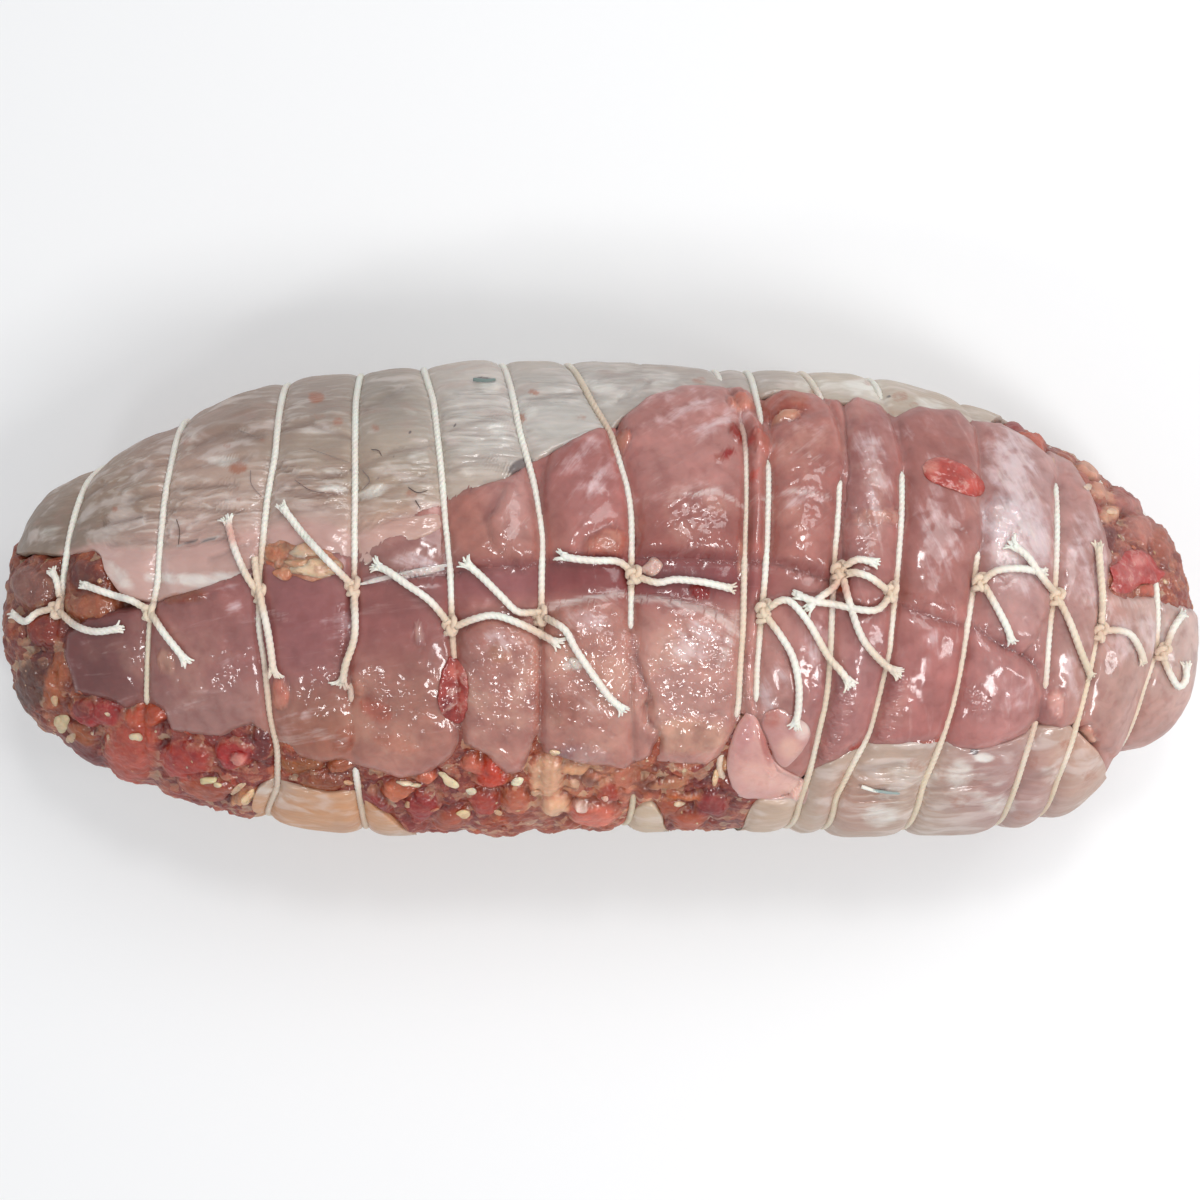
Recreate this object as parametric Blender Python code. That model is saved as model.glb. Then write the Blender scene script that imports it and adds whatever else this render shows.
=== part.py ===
# A raw capon roast: boned, stuffed, rolled in its own skin and tied with loops of butcher's twine.
# It lies along X with its knots up and rests on a flattened spot at z = 0.
# Every length below is in millimetres and every angle in degrees; meshes are scaled to metres when made.

import math
from collections import namedtuple

import bmesh
import bpy
from mathutils import Matrix, Vector, noise
from mathutils.bvhtree import BVHTree

METRES = 0.001

# The rolled roast
HALF_LENGTH = 150
AXIS_HEIGHT = 47
TIP_DROOP = 6
LEFT_TIP_Y = -6
RIGHT_TIP_Y = -10
END_BLUNTNESS = 0.36
TOP_RISE = 0.82
BOTTOM_DROP = 0.87

# How far the roast reaches back and forward from its axis: (x, reach before the ends round it off)
BACK_REACH = ((-150, 78), (-138, 65), (-125, 60), (-90, 64), (-60, 62), (0, 59.6), (30, 59.4),
              (65, 63), (90, 63.5), (135, 63), (150, 71))
FRONT_REACH = ((-150, 68), (-138, 60), (-90, 61.5), (-65, 62), (-35, 59.5), (10, 58), (40, 59.5),
               (75, 63), (115, 68), (124, 65), (133, 55), (150, 60))

# Where the skin's two edges lie, as an angle from the top, positive towards the back: (x, angle)
SKIN_TOP_EDGE = ((-150, 40), (-140, 32), (-125, 20), (-112, 6), (-86, 6), (-57, 9), (-39, 17), (-23, 25),
                 (-15, 35), (-2, 42), (18, 59), (34, 62), (71, 58), (93, 65), (99, 66), (106, 92),
                 (122, 112), (150, 130))
SKIN_FRONT_EDGE = ((-150, -104), (-98, -104), (-87, -64), (-78, -56), (-46, -58), (-41, -76), (-36, -96),
                   (2, -96), (8, -63), (16, -63), (22, -92), (34, -92), (38, -62), (50, -56), (66, -38),
                   (100, -36), (118, -32), (126, -52), (131, -95), (150, -104))
SKIN_ENDS = (-146, 138)
SKIN_THICKNESS = 4.5

# The muscle's lower edge above the ridge of stuffing, and the line where two muscles meet on top
MEAT_FRONT_EDGE = ((-150, -20), (-137, -20), (-127, -31), (-115, -34), (-85, -36), (-50, -41), (40, -41),
                   (150, -41))
MUSCLE_SEAM = ((-150, 0), (-112, -1), (-60, 5), (-30, 8), (0, 8), (25, 11), (60, 7), (100, 0), (150, 0))
SEAM_ENDS = (-112, 84)
SEAM_DEPTH = 4

# How far the surfaces rise and fall: the height of the lumps and how far apart they are
SKIN_LUMPS, SKIN_LUMP_SIZE = 0.7, 30
MEAT_SWELL = 1.5
MEAT_LUMPS, MEAT_LUMP_SIZE = 1.6, 26
MEAT_UNDER_SKIN_EDGE = 2.5
STUFFING_RISE = 0.4
STUFFING_LUMPS, STUFFING_LUMP_SIZE = 3.4, 9

# The stuffing inside is this share of the roast's width where it doesn't show
CORE = 0.46

# Gaps between touching pieces, and how far the cutters reach out past the surface
CLEARANCE = 0.4
STRING_CLEARANCE = 0.55
PROUD = 12

# The strings, and how they sink into the roast
STRING_RADIUS = 1
TIE_DEPTH = 3.1
TIE_DEPTH_AT_BACK = 1.9
BULGE_REACH = 9
FULLNESS = 1.15
STEEPEST = 0.7
KNOT_RADIUS = 2.3
KNOT_SEAT = 1.2
END_STEP = 4.6
END_REACH = 3.4
SCRAP_REACH = 2

# The mesh of the roast: columns round it, closer together on top, and rings along it
TOP_COLUMNS = 16
UNDER_COLUMNS = 11
TOP_SPAN = (-82, 62)
RING_STEP = 9
END_RINGS = 3

# One tied string: where it crosses the back, the top and the front, the y of its knot, and its two
# loose ends as (x, y) steps from the knot
Tie = namedtuple("Tie", "back top front knot_y ends")
TIES = (
    Tie(-126, -132, -135, -2, (((-8, -3), (-11, -1)),
                               ((5, -5), (10, -6), (15, -5)))),
    Tie(-105, -107, -112, -3, (((-9, 4), (-16, 6)),
                               ((1, -2), (7, -9), (9, -12)))),
    Tie(-81, -80, -84, 1, (((-3, 3), (-6, 14), (-8, 17)),
                           ((1, -2), (2, -10), (3, -18)))),
    Tie(-61, -57, -60, 3, (((-2, 1), (-15, 15), (-16, 18)),
                           ((0, -4), (0, -11), (-2, -19), (-3, -23)))),
    Tie(-45, -36, -35, -6, (((-5, 6), (-11, 10), (-18, 14)),
                            ((2, 0), (6, 2), (10, 2), (16, 1), (22, -3), (25, -4)))),
    Tie(-25, -14, -15, -4, (((-3, 0), (-6, 1), (-9, 5), (-14, 9), (-17, 12)),
                            ((2, -1), (6, -3), (8, -8), (13, -15), (16, -20), (20, -22)))),
    Tie(-7, 7, 7, 6, (((-3, 3), (-10, 3), (-17, 4)),
                      ((1, -1), (5, -2), (9, -1), (15, -2), (20, -3), (23, -3)))),
    Tie(29, 34, 35, None, ()),
    Tie(37, 39, 38, -3, (((2, 1), (4, 3), (6, 2), (10, -3), (15, -10), (18, -14), (20, -17)),
                         ((1, -1), (4, -5), (6, -10), (8, -16), (8, -22), (7, -27)))),
    Tie(52, 55, 49, 7, (((-1, -4), (-4, -6), (-7, -9)),
                        ((1, -4), (3, -10), (6, -17), (11, -22), (14, -24)))),
    Tie(71, 69, 58, 2, (((-2, 1), (-5, 3), (-9, 4), (-11, 4)),
                        ((0, -2), (-3, -4), (-7, -4), (-13, -3), (-18, -2), (-22, -1)))),
    Tie(95, 89, 78, 4, (((2, 1), (5, 3), (9, 3), (15, 2)),
                        ((1, -1), (4, -7), (6, -11), (7, -14)))),
    Tie(116, 109, 101, 1, (((-1, 1), (-5, 6), (-6, 9), (-12, 13)),
                           ((1, -1), (3, -6), (5, -12), (8, -19)))),
    Tie(128, 121, 111, -7, (((0, 2), (0, 8), (0, 21)),
                            ((2, 1), (6, 0), (7, -1), (10, -5), (10, -7)))),
    Tie(140, 138, 132, -12, (((1, 2), (3, 6), (5, 9)),
                             ((0, -2), (2, -6), (4, -9), (6, -8)))),
)


# A scrap that lies on the roast: station and angle of its middle, half its size along X and round the
# roast, its turn and its thickness
Scrap = namedtuple("Scrap", "station angle along around turn thickness colour")
SCRAPS = {
    "meat_flap": Scrap(39, -44, 9, 13, 12, 3.2, (0.62, 0.30, 0.27)),
    "red_scrap_front": Scrap(-40, -24, 3.2, 6.2, 8, 3, (0.45, 0.06, 0.05)),
    "red_scrap_top": Scrap(76, 37, 7.6, 5, -20, 1.8, (0.50, 0.10, 0.08)),
    "red_scrap_end": Scrap(127, 22, 6.6, 5, -10, 3.4, (0.55, 0.08, 0.06)),
    "fat_scrap": Scrap(-72.5, 9, 8.6, 4.4, -8, 2.6, (0.72, 0.45, 0.30)),
}


def through(points, x):
    """Height at x of a smooth line through the given points."""
    if x <= points[0][0]:
        return points[0][1]
    if x >= points[-1][0]:
        return points[-1][1]
    i = next(i for i in range(len(points) - 1) if x <= points[i + 1][0])
    (x0, y0), (x1, y1) = points[i], points[i + 1]
    before = points[max(i - 1, 0)]
    after = points[min(i + 2, len(points) - 1)]
    slope0 = (y1 - before[1]) / (x1 - before[0])
    slope1 = (after[1] - y0) / (after[0] - x0)
    span = x1 - x0
    t = (x - x0) / span
    return ((1 + 2 * t) * (1 - t) ** 2 * y0 + t * (1 - t) ** 2 * span * slope0
            + t * t * (3 - 2 * t) * y1 + t * t * (t - 1) * span * slope1)


def tie_lines():
    """Station, lean and bow of each string's plane, with the two tips at the ends."""
    lines = [(-HALF_LENGTH, 0, 0)]
    for tie in TIES:
        middle = (tie.back + tie.front) / 2
        lines.append((middle, (tie.back - tie.front) / 2, tie.top - middle))
    lines.append((HALF_LENGTH, 0, 0))
    return lines


LINES = tie_lines()


def lean_and_bow(station):
    for (s0, lean0, bow0), (s1, lean1, bow1) in zip(LINES, LINES[1:]):
        if station <= s1:
            t = (station - s0) / (s1 - s0)
            return lean0 + t * (lean1 - lean0), bow0 + t * (bow1 - bow0)
    return 0, 0


def section(x):
    """Axis point and the four reaches of the cross-section at x."""
    along = min(abs(x) / (HALF_LENGTH + 0.5), 1)
    end = (1 - along ** 2) ** END_BLUNTNESS
    tip_y = LEFT_TIP_Y if x < 0 else RIGHT_TIP_Y
    back = through(BACK_REACH, x) * end
    front = through(FRONT_REACH, x) * end
    mean = (back + front) / 2
    return tip_y * along ** 2, AXIS_HEIGHT - TIP_DROOP * along ** 2, back, front, mean


def smooth_surface(station, angle):
    lean, bow = lean_and_bow(station)
    sine = math.sin(math.radians(angle))
    cosine = math.cos(math.radians(angle))
    x = station + lean * sine + bow * cosine
    x = max(-HALF_LENGTH, min(HALF_LENGTH, x))
    axis_y, axis_z, back, front, mean = section(x)
    y = axis_y + (back if sine > 0 else front) * sine
    z = axis_z + mean * (TOP_RISE if cosine > 0 else BOTTOM_DROP) * cosine
    return Vector((x, y, z))


def outward(station, angle):
    if abs(station) >= HALF_LENGTH:
        return Vector((math.copysign(1, station), 0, 0))
    last = HALF_LENGTH - 0.1
    ahead = smooth_surface(min(station + 0.5, last), angle)
    along = ahead - smooth_surface(max(station - 0.5, -last), angle)
    round_it = smooth_surface(station, angle + 0.5) - smooth_surface(station, angle - 0.5)
    return along.cross(round_it).normalized()


def surface(station, angle, lift=0, floor=0):
    """A point on the roast, lifted along its normal, and kept above the floor."""
    if abs(station) >= HALF_LENGTH:
        axis_y, axis_z, *_ = section(station)
        return Vector((station + math.copysign(lift, station), axis_y, axis_z))
    point = smooth_surface(station, angle) + outward(station, angle) * lift
    point.z = max(point.z, floor)
    return point


def tie_depth(angle):
    towards_back = max(0, math.sin(math.radians(angle)))
    return TIE_DEPTH + (TIE_DEPTH_AT_BACK - TIE_DEPTH) * towards_back


def stations():
    """Rings of the fine surface: one along each string, and some between each string and the next."""
    strings = [line[0] for line in LINES[1:-1]]
    rings = [strings[0]]
    for s0, s1 in zip(strings, strings[1:]):
        count = max(1, round((s1 - s0) / RING_STEP))
        rings += [s0 + (s1 - s0) * i / (count + 1) for i in range(1, count + 2)]
    for i in range(1, END_RINGS + 1):
        t = math.sin(math.pi / 2 * i / (END_RINGS + 0.4))
        rings.insert(0, strings[0] - (strings[0] + HALF_LENGTH) * t)
        rings.append(strings[-1] + (HALF_LENGTH - strings[-1]) * t)
    return [(ring, min(abs(ring - string) for string in strings)) for ring in rings]


RINGS = stations()
COLUMNS = TOP_COLUMNS + UNDER_COLUMNS


def column_angle(column, station):
    """Angle of a mesh column: closer together on top, with one column along the muscle seam."""
    low, high = TOP_SPAN
    if column <= TOP_COLUMNS:
        angle = low + (high - low) * column / TOP_COLUMNS
        seam = through(MUSCLE_SEAM, station)
        if angle < 0:
            return low + (angle - low) * (seam - low) / -low
        return seam + angle * (high - seam) / high
    return high + (360 + low - high) * (column - TOP_COLUMNS) / UNDER_COLUMNS


def ball(ring_count, column_count, place):
    """A UV sphere with its poles along X, each vertex moved to place(ring, column)."""
    shape = bmesh.new()
    bmesh.ops.create_uvsphere(shape, u_segments=column_count, v_segments=ring_count + 1, radius=1)
    for vertex in shape.verts:
        pole_angle = math.acos(max(-1, min(1, vertex.co.z)))
        ring = round(pole_angle / math.pi * (ring_count + 1))
        turn = math.atan2(vertex.co.y, vertex.co.x) / math.tau
        column = round(turn * column_count) % column_count
        vertex.co = place(ring, column)
    bmesh.ops.triangulate(shape, faces=shape.faces, quad_method="SHORT_EDGE")
    if shape.calc_volume(signed=True) < 0:
        bmesh.ops.reverse_faces(shape, faces=shape.faces)
    return shape


def fine_body(relief):
    """The whole roast as one closed surface, with the given relief between its strings."""
    def place(ring, column):
        if ring == 0:
            return surface(-HALF_LENGTH, 0, relief(-HALF_LENGTH, 0))
        if ring > len(RINGS):
            return surface(HALF_LENGTH, 0, relief(HALF_LENGTH, 0))
        station, distance = RINGS[ring - 1]
        angle = column_angle(column, station)
        bulge = min(1, FULLNESS * math.sin(math.pi / 2 * min(1, distance / BULGE_REACH)))
        depth = tie_depth(angle)
        sunk = depth * (1 - bulge)
        rise = min(relief(station, angle) * bulge - sunk, STEEPEST * distance - depth)
        return surface(station, angle, rise, sunk)
    return ball(len(RINGS), COLUMNS, place)


def lumps(station, angle, size, seed):
    point = surface(station, angle) / size
    return noise.noise(point + Vector((seed, 0, 0)))


def skin_relief(station, angle):
    return SKIN_LUMPS * lumps(station, angle, SKIN_LUMP_SIZE, 3)


def meat_relief(station, angle):
    """Muscles swell between the strings, dip at the seam and lie lower than the skin's edge."""
    if abs(station) >= HALF_LENGTH:
        return -1
    on_top = max(0, math.cos(math.radians(angle + 8)))
    swell = MEAT_SWELL * on_top + MEAT_LUMPS * lumps(station, angle, MEAT_LUMP_SIZE, 8)
    from_seam = abs(angle - through(MUSCLE_SEAM, station))
    if SEAM_ENDS[0] < station < SEAM_ENDS[1] and from_seam < 6:
        swell -= SEAM_DEPTH
    if station < 95 and angle > through(SKIN_TOP_EDGE, station) - 9:
        swell -= MEAT_UNDER_SKIN_EDGE
    return swell


def stuffing_relief(station, angle):
    return STUFFING_RISE + STUFFING_LUMPS * lumps(station, angle, STUFFING_LUMP_SIZE, 21)


def skin_bed():
    """All that lies inside the skin. It stands proud of the roast wherever no skin covers it."""
    inner_columns, outer_columns = 13, 6
    edge = 3
    left, right = SKIN_ENDS
    rings = [left - 1.5, left, -132, -118, -98, -92, -86, -66, -46, -36, -18, 3, 9, 16, 22, 34, 41, 54, 66,
             96, 118, 127, 132, right, right + 1.5]

    def place(ring, column):
        if ring == 0 or ring > len(rings):
            return surface(-HALF_LENGTH if ring == 0 else HALF_LENGTH, 0, PROUD)
        station = rings[ring - 1]
        top = through(SKIN_TOP_EDGE, station)
        front = through(SKIN_FRONT_EDGE, station) + 360
        if column <= inner_columns:
            angle = top + (front - top) * column / inner_columns
            if left <= station <= right:
                return surface(station, angle, -SKIN_THICKNESS, SKIN_THICKNESS)
            return surface(station, angle, PROUD, -PROUD)
        step = (column - inner_columns - 1) / (outer_columns - 2)
        angle = front + edge + (top + 360 - front - 2 * edge) * step
        return surface(station, angle, PROUD, -PROUD)

    return ball(len(rings), inner_columns + outer_columns - 1, place)


def stuffing_shows(station, angle):
    ridge = -108 <= angle <= -40 and station <= 38
    left_tip = station <= -137 and -108 <= angle <= 31
    left_lump = station <= -119 and -11 <= angle <= 21
    right_end = station >= 121 and 4 <= angle <= 126
    return ridge or left_tip or left_lump or right_end


def stuffing_room():
    """The core of stuffing, which runs through the roast and comes out along the front and at both ends."""
    columns = 20
    rings = [-146, -137, -128, -119, -104, -84, -62, -40, -18, 6, 36, 44, 68, 92, 113, 121, 130, 139]

    def place(ring, column):
        if ring == 0:
            return surface(-HALF_LENGTH, 0, PROUD)
        if ring > len(rings):
            return Vector((142, RIGHT_TIP_Y, AXIS_HEIGHT - TIP_DROOP))
        station = rings[ring - 1]
        plain = column * 360 / columns - 179
        edge = through(MEAT_FRONT_EDGE, station)
        angle = through(((-180, -180), (-107, -107), (-48, edge), (65, 65), (180, 180)), plain)
        if stuffing_shows(station, plain):
            return surface(station, angle, PROUD, -PROUD)
        skin_point = surface(station, angle)
        axis_y, axis_z, *_ = section(skin_point.x)
        axis = Vector((skin_point.x, axis_y, axis_z))
        return axis + (skin_point - axis) * CORE

    return ball(len(rings), columns, place)


def shrunk(shape, gap):
    smaller = shape.copy()
    smaller.normal_update()
    moves = [vertex.normal * gap * vertex.calc_shell_factor() for vertex in smaller.verts]
    for vertex, move in zip(smaller.verts, moves):
        vertex.co -= move
    return smaller


def material(name, colour, roughness):
    made = bpy.data.materials.new(name)
    made.use_nodes = True
    shader = made.node_tree.nodes["Principled BSDF"]
    shader.inputs["Base Color"].default_value = (*colour, 1)
    shader.inputs["Roughness"].default_value = roughness
    shader.inputs["Metallic"].default_value = 0
    made.diffuse_color = (*colour, 1)
    return made


def add_object(name, shape, collection, finish=None):
    mesh = bpy.data.meshes.new(name)
    bmesh.ops.scale(shape, vec=(METRES, METRES, METRES), verts=shape.verts)
    shape.to_mesh(mesh)
    shape.free()
    made = bpy.data.objects.new(name, mesh)
    collection.objects.link(made)
    if finish:
        mesh.materials.append(finish)
        mesh.shade_smooth()
        mesh.set_sharp_from_angle(angle=math.radians(40))
    return made


def add_cutter(name, shape, collection):
    made = add_object(name, shape, collection)
    made.hide_render = True
    made.display_type = "WIRE"
    return made


def cut(target, tool, operation):
    boolean = target.modifiers.new(operation.capitalize() + " " + tool.name, "BOOLEAN")
    boolean.operation = operation
    boolean.object = tool
    boolean.solver = "MANIFOLD"


class Ground:
    """What lies under a thing that is laid on the roast."""

    def __init__(self):
        self.trees = {}

    def add(self, made):
        bpy.context.view_layer.update()
        graph = bpy.context.evaluated_depsgraph_get()
        self.trees[made.name] = BVHTree.FromObject(made, graph)

    def lift(self, station, angle, spread, leaving_out=None):
        """How far the highest thing round this place stands out from the smooth roast."""
        normal = outward(station, angle)
        across = normal.orthogonal()
        sides = [Vector((0, 0, 0))]
        for eighth in range(8):
            side = Matrix.Rotation(eighth * math.tau / 8, 3, normal) @ across * spread
            sides += [side / 2, side]
        highest = -TIE_DEPTH
        for side in sides:
            start = surface(station, angle, PROUD) + side
            for name, tree in self.trees.items():
                hit = None if name == leaving_out else tree.ray_cast(start * METRES, -normal)[0]
                if hit:
                    highest = max(highest, (hit / METRES - start).dot(normal) + PROUD)
        return highest


def tube(points, closed, radius):
    """A four-sided tube along the points, as a closed mesh."""
    curve = bpy.data.curves.new("route", "CURVE")
    curve.dimensions = "3D"
    curve.bevel_depth = radius
    curve.bevel_resolution = 0
    curve.use_fill_caps = not closed
    spline = curve.splines.new("POLY")
    spline.points.add(len(points) - 1)
    for point, place in zip(spline.points, points):
        point.co = (*place, 1)
    spline.use_cyclic_u = closed
    guide = bpy.data.objects.new("route", curve)
    bpy.context.scene.collection.objects.link(guide)
    bpy.context.view_layer.update()
    mesh = bpy.data.meshes.new_from_object(guide.evaluated_get(bpy.context.evaluated_depsgraph_get()))
    shape = bmesh.new()
    shape.from_mesh(mesh)
    bmesh.ops.remove_doubles(shape, verts=shape.verts, dist=0.001)
    bmesh.ops.recalc_face_normals(shape, faces=shape.faces)
    bpy.data.objects.remove(guide)
    bpy.data.curves.remove(curve)
    bpy.data.meshes.remove(mesh)
    return shape


def loop_points(station):
    """A string's closed path, sunk in the groove that it has pulled into the roast."""
    rise = STRING_CLEARANCE + STRING_RADIUS
    points = []
    for column in range(COLUMNS):
        angle = column_angle(column, station)
        depth = tie_depth(angle)
        points.append(surface(station, angle, rise - depth, depth - rise))
    return points


def angle_at(x, y):
    """Angle from the top, on the upper side, of the place that lies y behind the middle."""
    axis_y, _, back, front, _ = section(x)
    sine = (y - axis_y) / (back if y > axis_y else front)
    return math.degrees(math.asin(max(-0.97, min(0.97, sine))))


def station_at(x, angle):
    station = x
    for _ in range(4):
        lean, bow = lean_and_bow(station)
        station = x - lean * math.sin(math.radians(angle)) - bow * math.cos(math.radians(angle))
    return station


def resampled(route, step):
    """Points at even steps along a smooth line through the route's own points."""
    dense = []
    for i in range(len(route) - 1):
        a = route[max(i - 1, 0)]
        b, c = route[i], route[i + 1]
        d = route[min(i + 2, len(route) - 1)]
        for k in range(8):
            t = k / 8
            dense.append(0.5 * (2 * b + (c - a) * t + (2 * a - 5 * b + 4 * c - d) * t * t
                                + (3 * b - a - 3 * c + d) * t ** 3))
    dense.append(route[-1])
    points = [dense[0]]
    for here in dense[1:]:
        if (here - points[-1]).length >= step:
            points.append(here)
    if (dense[-1] - points[-1]).length > step / 2:
        points.append(dense[-1])
    return points


def loose_end(knot, steps, string, ground):
    """A cut end of string that starts inside the knot and lies on whatever is under it."""
    route = [knot.xy] + [knot.xy + Vector(step) for step in steps]
    flat = resampled(route, END_STEP)
    points = [Vector((*flat[0], knot.z))]
    for here in flat[1:]:
        angle = angle_at(here.x, here.y)
        station = station_at(here.x, angle)
        under = ground.lift(station, angle, END_REACH, string.name)
        points.append(surface(station, angle, under + STRING_CLEARANCE + STRING_RADIUS))
    return points


def fuse(made, shapes):
    """Joins loose shapes to an object, which stays one closed body."""
    pieces = bpy.data.collections.new("pieces to fuse")
    bpy.context.scene.collection.children.link(pieces)
    for shape in shapes:
        add_object("piece", shape, pieces)
    union = made.modifiers.new("Fuse", "BOOLEAN")
    union.operation = "UNION"
    union.operand_type = "COLLECTION"
    union.collection = pieces
    bpy.context.view_layer.update()
    joined = bpy.data.meshes.new_from_object(made.evaluated_get(bpy.context.evaluated_depsgraph_get()))
    made.modifiers.clear()
    made.data = joined
    for piece in list(pieces.objects):
        bpy.data.objects.remove(piece)
    bpy.data.collections.remove(pieces)


def knot_place(station, knot_y):
    angle = angle_at(station, knot_y)
    return surface(station, angle, KNOT_RADIUS + KNOT_SEAT - tie_depth(angle))


def knot_shape(middle):
    knot = bmesh.new()
    bmesh.ops.create_uvsphere(knot, u_segments=6, v_segments=4, radius=KNOT_RADIUS)
    bmesh.ops.rotate(knot, verts=knot.verts, matrix=Matrix.Rotation(math.radians(20), 3, "X"))
    bmesh.ops.translate(knot, verts=knot.verts, vec=middle)
    return knot


def add_scrap(name, scrap, ground, collection):
    """A lump that has settled on the roast: its underside follows whatever it lies on."""
    shape = bmesh.new()
    bmesh.ops.create_uvsphere(shape, u_segments=10, v_segments=6, radius=1)
    turned = Matrix.Rotation(math.radians(scrap.turn), 3, "Z")
    for vertex in shape.verts:
        flat = turned @ Vector((vertex.co.x * scrap.along, vertex.co.y * scrap.around, 0))
        station = scrap.station + flat.x
        reach = section(station)[4]
        angle = scrap.angle + math.degrees(flat.y / reach)
        under = ground.lift(station, angle, SCRAP_REACH) + STRING_CLEARANCE
        vertex.co = surface(station, angle, under + scrap.thickness * max(0, vertex.co.z))
    ground.add(add_object(name, shape, collection, material(name, scrap.colour, 0.3)))


def add_loops(ground, collection):
    """Each string pulled tight round the roast, with its knot."""
    twine = material("twine", (0.83, 0.74, 0.58), 0.8)
    strings = []
    for number, ((station, *_), tie) in enumerate(zip(LINES[1:-1], TIES), 1):
        loop = tube(loop_points(station), True, STRING_RADIUS)
        string = add_object(f"string_{number:02d}", loop, collection, twine)
        if tie.knot_y is not None:
            knot = knot_place(station, tie.knot_y)
            fuse(string, [knot_shape(knot)])
            strings.append((string, knot, tie.ends))
        ground.add(string)
    return strings


def add_ends(strings, ground):
    """The cut ends fall across the loops, the scraps and one another."""
    for string, knot, ends in strings:
        routes = [loose_end(knot, steps, string, ground) for steps in ends]
        fuse(string, [tube(route, False, STRING_RADIUS * 0.95) for route in routes])
        ground.add(string)


def main():
    for old in list(bpy.data.objects):
        bpy.data.objects.remove(old)
    roast = bpy.data.collections.new("capon_roast")
    cutters = bpy.data.collections.new("cutters")
    bpy.context.scene.collection.children.link(roast)
    bpy.context.scene.collection.children.link(cutters)
    cutters.hide_render = True

    bed = skin_bed()
    room = stuffing_room()
    inside_skin = add_cutter("inside_skin", shrunk(bed, CLEARANCE), cutters)
    inside_meat = add_cutter("inside_meat", shrunk(room, CLEARANCE), cutters)
    bed = add_cutter("skin_bed", bed, cutters)
    room = add_cutter("stuffing_room", room, cutters)

    skin = add_object("skin", fine_body(skin_relief), roast, material("skin", (0.62, 0.50, 0.42), 0.45))
    cut(skin, bed, "DIFFERENCE")
    meat = add_object("meat", fine_body(meat_relief), roast, material("meat", (0.55, 0.24, 0.21), 0.3))
    cut(meat, inside_skin, "INTERSECT")
    cut(meat, room, "DIFFERENCE")
    stuffing = add_object("stuffing", fine_body(stuffing_relief), roast,
                          material("stuffing", (0.42, 0.10, 0.06), 0.4))
    cut(stuffing, inside_skin, "INTERSECT")
    cut(stuffing, inside_meat, "INTERSECT")

    ground = Ground()
    for made in (skin, meat, stuffing):
        ground.add(made)
    strings = add_loops(ground, roast)
    for name, scrap in SCRAPS.items():
        add_scrap(name, scrap, ground, roast)
    add_ends(strings, ground)


main()
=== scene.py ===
import math
import bpy
import numpy as np
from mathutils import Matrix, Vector
from mathutils.bvhtree import BVHTree


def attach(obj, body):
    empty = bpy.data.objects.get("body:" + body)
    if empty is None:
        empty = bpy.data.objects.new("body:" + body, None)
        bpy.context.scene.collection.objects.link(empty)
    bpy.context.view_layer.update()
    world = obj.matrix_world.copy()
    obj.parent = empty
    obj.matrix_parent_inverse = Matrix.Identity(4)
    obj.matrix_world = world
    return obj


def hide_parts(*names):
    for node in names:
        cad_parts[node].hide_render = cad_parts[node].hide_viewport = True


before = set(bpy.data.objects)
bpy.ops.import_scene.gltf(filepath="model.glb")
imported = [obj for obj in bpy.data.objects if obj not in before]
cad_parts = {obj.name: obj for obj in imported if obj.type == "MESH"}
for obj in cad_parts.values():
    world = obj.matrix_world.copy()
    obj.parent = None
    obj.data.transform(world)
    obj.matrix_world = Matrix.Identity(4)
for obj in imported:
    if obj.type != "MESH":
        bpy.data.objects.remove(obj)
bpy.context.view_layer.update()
mm = 0.001

# The rolled form, in millimetres and degrees as in the solids: x along the roast, and an angle round it
# from the top, positive towards the back
roast = {
    "halfLength": 150, "axisHeight": 47, "tipDroop": 6, "leftTipY": -6, "rightTipY": -10,
    "endBluntness": 0.36, "topRise": 0.82, "bottomDrop": 0.87,
    "back": ((-150, 78), (-138, 65), (-125, 60), (-90, 64), (-60, 62), (0, 59.6), (30, 59.4),
             (65, 63), (90, 63.5), (135, 63), (150, 71)),
    "front": ((-150, 68), (-138, 60), (-90, 61.5), (-65, 62), (-35, 59.5), (10, 58), (40, 59.5),
              (75, 63), (115, 68), (124, 65), (133, 55), (150, 60)),
    "floorGap": 0.05,
}

film = {"haze": 0.035}  # what the wet film adds to every colour, taken off the colours under it

# Where the photograph was taken from: straight above, so a pixel of it names a place on the roast
photo = {"height": 567, "middle": (600.5, 599.5), "pixels": 2036.84, "size": 1200, "perMm": 4.2}


# Shapes: small tools

def smoothLine(points, x):  # height at x of a smooth line through the points
    px = np.array([p[0] for p in points], float)
    py = np.array([p[1] for p in points], float)
    slope = np.empty(len(px))
    slope[1:-1] = (py[2:] - py[:-2]) / (px[2:] - px[:-2])
    slope[0] = (py[1] - py[0]) / (px[1] - px[0])
    slope[-1] = (py[-1] - py[-2]) / (px[-1] - px[-2])
    x = np.clip(np.asarray(x, float), px[0], px[-1])
    i = np.clip(np.searchsorted(px, x) - 1, 0, len(px) - 2)
    span = px[i + 1] - px[i]
    t = (x - px[i]) / span
    return ((1 + 2 * t) * (1 - t) ** 2 * py[i] + t * (1 - t) ** 2 * span * slope[i]
            + t * t * (3 - 2 * t) * py[i + 1] + t * t * (t - 1) * span * slope[i + 1])


def section(x):
    along = np.clip(np.abs(x) / (roast["halfLength"] + 0.5), 0, 1)
    end = (1 - along ** 2) ** roast["endBluntness"]
    tipY = np.where(x < 0, roast["leftTipY"], roast["rightTipY"])
    back = smoothLine(roast["back"], x) * end
    front = smoothLine(roast["front"], x) * end
    return tipY * along ** 2, roast["axisHeight"] - roast["tipDroop"] * along ** 2, back, front


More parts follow.
